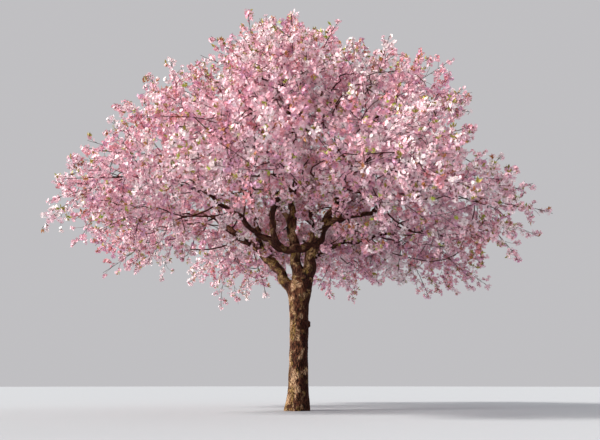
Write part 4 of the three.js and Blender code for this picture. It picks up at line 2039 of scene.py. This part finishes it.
@dataclass
class BlossomWork:
    """The flowers of one mass, in clusters. Those outside have notched petals and a stalk each."""

    flowers_each: int = 5
    filled: float = 0.7
    outer_share: float = 0.32
    petals: int = 5
    size: Pair = (0.0285, 0.0375)
    stalk: Pair = (0.026, 0.062)
    calyx: float = 0.0075
    calyx_depth: float = 0.12
    outward_pull: float = 0.45
    sag: float = 0.12
    turn_aside: float = 0.45
    cup: Pair = (0.2, 1.1)
    tone_shares: Triple = (0.5, 0.38, 0.12)
    weights: tuple[float, ...] = (0.17, 0.24, 0.24, 0.18, 0.11, 0.06)

    def __post_init__(self) -> None:
        """Makes the petals' colours."""
        self.tints = [kind.value.build() for kind in PetalTint]

    def flowers(
        self, kind: Petal, points: Array, outward: Array, rng: np.random.Generator
    ) -> tuple[Array, Array, Array]:
        """The flowers of many clusters.

        A flower's heart lies a stalk's length from its cluster, in a way drawn round the way out from
        the twig, and it faces about the same way.

        Args:
            kind: how the petals are drawn.
            points: (n, 3) the clusters' places.
            outward: (n, 3) the ways out from the twig.
            rng: seeded draws.

        Returns:
            The corners, the triangles, and the heart of each flower.
        """
        shape = (len(points), self.flowers_each)
        way = unit(rng.normal(size=(*shape, 3))) + self.outward_pull * outward[:, None]
        way = unit(way - self.sag * UPWARD)
        hearts = (points[:, None] + way * rng.uniform(*self.stalk, shape)[..., None]).reshape(-1, 3)
        face = unit(way + self.turn_aside * rng.normal(size=way.shape)).reshape(-1, 3)
        across = unit(np.cross(face, unit(rng.normal(size=face.shape))))
        over = np.cross(face, across)
        corners, faces = kind.flower(self.petals)
        local = corners[None] * rng.uniform(*self.size, len(hearts))[:, None, None]
        cup = rng.uniform(*self.cup, len(hearts))[:, None, None]
        placed = hearts[:, None] + local[..., 0:1] * across[:, None] + local[..., 1:2] * over[:, None]
        placed = placed + local[..., 2:3] * cup * face[:, None]
        starts = np.arange(len(hearts))[:, None, None] * len(corners)
        return placed.reshape(-1, 3), (faces + starts).reshape(-1, 3), hearts

    def build(self, mass: MassPlace, sites: Sites) -> None:
        """Makes the flowers of a mass as one piece.

        Args:
            mass: the mass.
            sites: where clusters sit.
        """
        rng = np.random.default_rng(mass.seed + 5)
        points, outward, tones = sites.joined()
        pick = rng.permutation(len(points))[: int(self.filled * len(points))]
        depth = np.linalg.norm((points[pick] - mass.centre) / mass.tier.reach, axis=1)
        pick = pick[np.argsort(-depth)]
        outer = int(self.outer_share * len(pick))
        parts = []
        deals = []
        for kind, part in ((Petal.NOTCHED, pick[:outer]), (Petal.PLAIN, pick[outer:])):
            corners, faces, hearts = self.flowers(kind, points[part], outward[part], rng)
            parts.append((corners, faces))
            shape = (len(part), self.flowers_each)
            by_spray, by_cluster, by_flower = self.tone_shares
            mix = by_spray * tones[part][:, None] + by_cluster * rng.uniform(size=(len(part), 1))
            mix = mix + by_flower * rng.uniform(size=shape)
            order = np.argsort(np.argsort(mix.ravel())) / mix.size
            limits = np.cumsum(self.weights)
            colour = np.searchsorted(limits, order * limits[-1] * 0.9999)
            deals.append(np.repeat(colour, len(faces) // len(hearts)))
            if kind is Petal.NOTCHED:
                root = np.repeat(points[part], self.flowers_each, axis=0)
                aside = unit(np.cross(hearts - root, unit(rng.normal(size=root.shape)))) * self.calyx
                cup = hearts + self.calyx_depth * (root - hearts)
                stalks = np.stack([cup + aside, cup - aside, root], axis=1).reshape(-1, 3)
                parts.append((stalks, np.arange(len(stalks)).reshape(-1, 3)))
                deals.append(np.full(len(hearts), len(self.weights)))
        starts = np.cumsum([0] + [len(corners) for corners, _ in parts])
        piece = make_piece(
            f"{mass.name}_petals",
            np.concatenate([corners for corners, _ in parts]),
            np.concatenate([faces + start for (_, faces), start in zip(parts, starts)]),
            self.tints,
            False,
        )
        piece.data.polygons.foreach_set("material_index", np.concatenate(deals).astype(np.int32))
        seat(piece, mass.name)


@dataclass
class LeafWork:
    """The tufts of young leaves of one mass, at the ends of shoots."""

    tufts: int = 190
    leaves_each: int = 5
    outer_share: float = 0.6
    length: Pair = (0.065, 0.110)
    half_width: float = 0.2
    stalk: float = 0.012
    lift: float = 0.4
    stray: float = 0.5
    spread: float = 0.75
    weights: tuple[float, ...] = (0.45, 0.25, 0.3)

    def __post_init__(self) -> None:
        """Makes the leaves' colours."""
        self.tints = [kind.value.build() for kind in LeafTint]

    def pattern(self) -> tuple[Array, Array]:
        """One leaf of unit length along the first axis, folded along its midrib, its tip bent down.

        Returns:
            Its 5 corners and 4 triangles.
        """
        wide = self.half_width
        corners = [(0, 0, 0), (0.45, -wide, 0.07), (0.5, 0, 0), (0.45, wide, 0.07), (1, 0, -0.12)]
        return np.array(corners), np.array([(0, 1, 2), (0, 2, 3), (1, 4, 2), (2, 4, 3)])

    def build(self, mass: MassPlace, sites: Sites) -> None:
        """Makes the young leaves of a mass as one piece.

        The tufts sit on the outer part of the mass. Each points out from its twig and a little up, and
        its leaves spread round that way.

        Args:
            mass: the mass.
            sites: places on the twigs.
        """
        rng = np.random.default_rng(mass.seed + 9)
        points, outward, _ = sites.joined()
        depth = np.linalg.norm((points - mass.centre) / mass.tier.reach, axis=1)
        outer = np.argsort(-depth)[: int(self.outer_share * len(points))]
        pick = rng.permutation(outer)[: self.tufts]
        shape = (len(pick), self.leaves_each)
        aside = self.stray * unit(rng.normal(size=(len(pick), 3)))
        main = unit(outward[pick] + self.lift * UPWARD + aside)
        way = unit(main[:, None] + self.spread * unit(rng.normal(size=(*shape, 3)))).reshape(-1, 3)
        root = np.repeat(points[pick], self.leaves_each, axis=0) + way * self.stalk
        across = unit(np.cross(way, unit(rng.normal(size=way.shape))))
        over = np.cross(way, across)
        size = rng.uniform(*self.length, len(root))[:, None, None]
        corners, faces = self.pattern()
        local = corners[None] * size
        leaves = (
            root[:, None]
            + local[..., 0:1] * way[:, None]
            + local[..., 1:2] * across[:, None]
            + local[..., 2:3] * over[:, None]
        )
        starts = np.arange(len(root))[:, None, None] * len(corners)
        colour = rng.choice(len(self.weights), len(pick), p=self.weights)
        piece = make_piece(
            f"{mass.name}_leaves", leaves.reshape(-1, 3), (faces + starts).reshape(-1, 3), self.tints, False
        )
        deal = np.repeat(colour, self.leaves_each * len(faces))
        piece.data.polygons.foreach_set("material_index", deal.astype(np.int32))
        seat(piece, mass.name)


@dataclass
class Studio:
    """The pale floor, the soft light and the camera at the photograph's eye."""

    eye: Triple = (3.99, -12.0, 0.53)
    turn: float = 18.1
    tilt: float = 15.0
    lens: float = 36.5
    floor_radius: float = 90.0
    floor_sides: int = 96
    floor_gap: float = 0.001
    floor_tint: Colour = tint(168, 172, 178)
    sky: Colour = (0.96, 0.95, 0.98, 1)
    sky_strength: float = 0.55

    def build(self) -> None:
        """Makes the floor, the lights and the camera, with colours shown as they are."""
        bpy.context.scene.view_settings.view_transform = "Standard"
        self.make_floor()
        self.make_lights()
        self.make_camera()

    def make_floor(self) -> None:
        """A wide level disc, just under the cut of the trunk."""
        count = self.floor_sides
        edge = np.arange(count)
        turn = FULL_TURN * edge / count
        rim = np.stack([np.cos(turn), np.sin(turn), np.zeros(count)], -1) * self.floor_radius
        points = np.concatenate([rim, np.zeros((1, 3))]) - (0, 0, self.floor_gap)
        faces = np.stack([np.full(count, count), edge, (edge + 1) % count], -1)
        finish = PlainFinish("floor_finish", self.floor_tint, 0.9).build()
        floor = make_piece("floor", points, faces, [finish], False)

    def make_lights(self) -> None:
        """A pale sky and three wide suns: the key from the left, a low one at the left, a weak one behind."""
        world = bpy.data.worlds.new("pale_sky")
        world.use_nodes = True
        sky = world.node_tree.nodes["Background"]
        sky.inputs["Color"].default_value = self.sky
        sky.inputs["Strength"].default_value = self.sky_strength
        bpy.context.scene.world = world
        for name, towards, strength, spread, colour in (
            ("key_light", (0.62, 0.42, -0.66), 4.4, 10, (1.0, 0.95, 0.87)),
            ("low_light", (0.78, 0.60, -0.13), 3.2, 14, (1.0, 0.95, 0.87)),
            ("back_light", (-0.5, -0.7, -0.5), 0.9, 30, (1.0, 1.0, 1.0)),
        ):
            light = bpy.data.lights.new(name, "SUN")
            light.color = colour
            light.energy = strength
            light.angle = math.radians(spread)
            lamp = bpy.data.objects.new(name, light)
            lamp.rotation_euler = Vector(towards).to_track_quat("-Z", "Y").to_euler()
            bpy.context.scene.collection.objects.link(lamp)

    def make_camera(self) -> None:
        """The photographer's eye, turned left and tilted up so that the whole tree is in view."""
        camera = bpy.data.cameras.new("camera")
        camera.lens = self.lens
        camera.sensor_width = 36
        camera.clip_end = 400
        holder = bpy.data.objects.new("camera", camera)
        holder.location = self.eye
        holder.rotation_euler = (math.radians(90 + self.tilt), 0, math.radians(self.turn))
        bpy.context.scene.collection.objects.link(holder)
        bpy.context.scene.camera = holder


def main() -> None:
    """Builds the tree and its setting, and reports each piece."""
    logging.basicConfig(level=logging.INFO, format="%(message)s")
    Studio().build()
    plan = CrownPlan()
    bark = BarkWork(plan)
    for owner in (plan.trunk, *plan.limbs.values()):
        bark.dress(owner)
    twigs = TwigWork(plan)
    blossom = BlossomWork()
    leaves = LeafWork()
    for bough in plan.boughs.values():
        mass = plan.places[bough.mass]
        sprays = plan.grow_sprays(bough)
        sites = twigs.build(bough, sprays)
        blossom.build(mass, sites)
        leaves.build(mass, sites)
        logging.info("%s: %d sprays", bough.mass, len(sprays))
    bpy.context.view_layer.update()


if __name__ == "__main__":
    main()
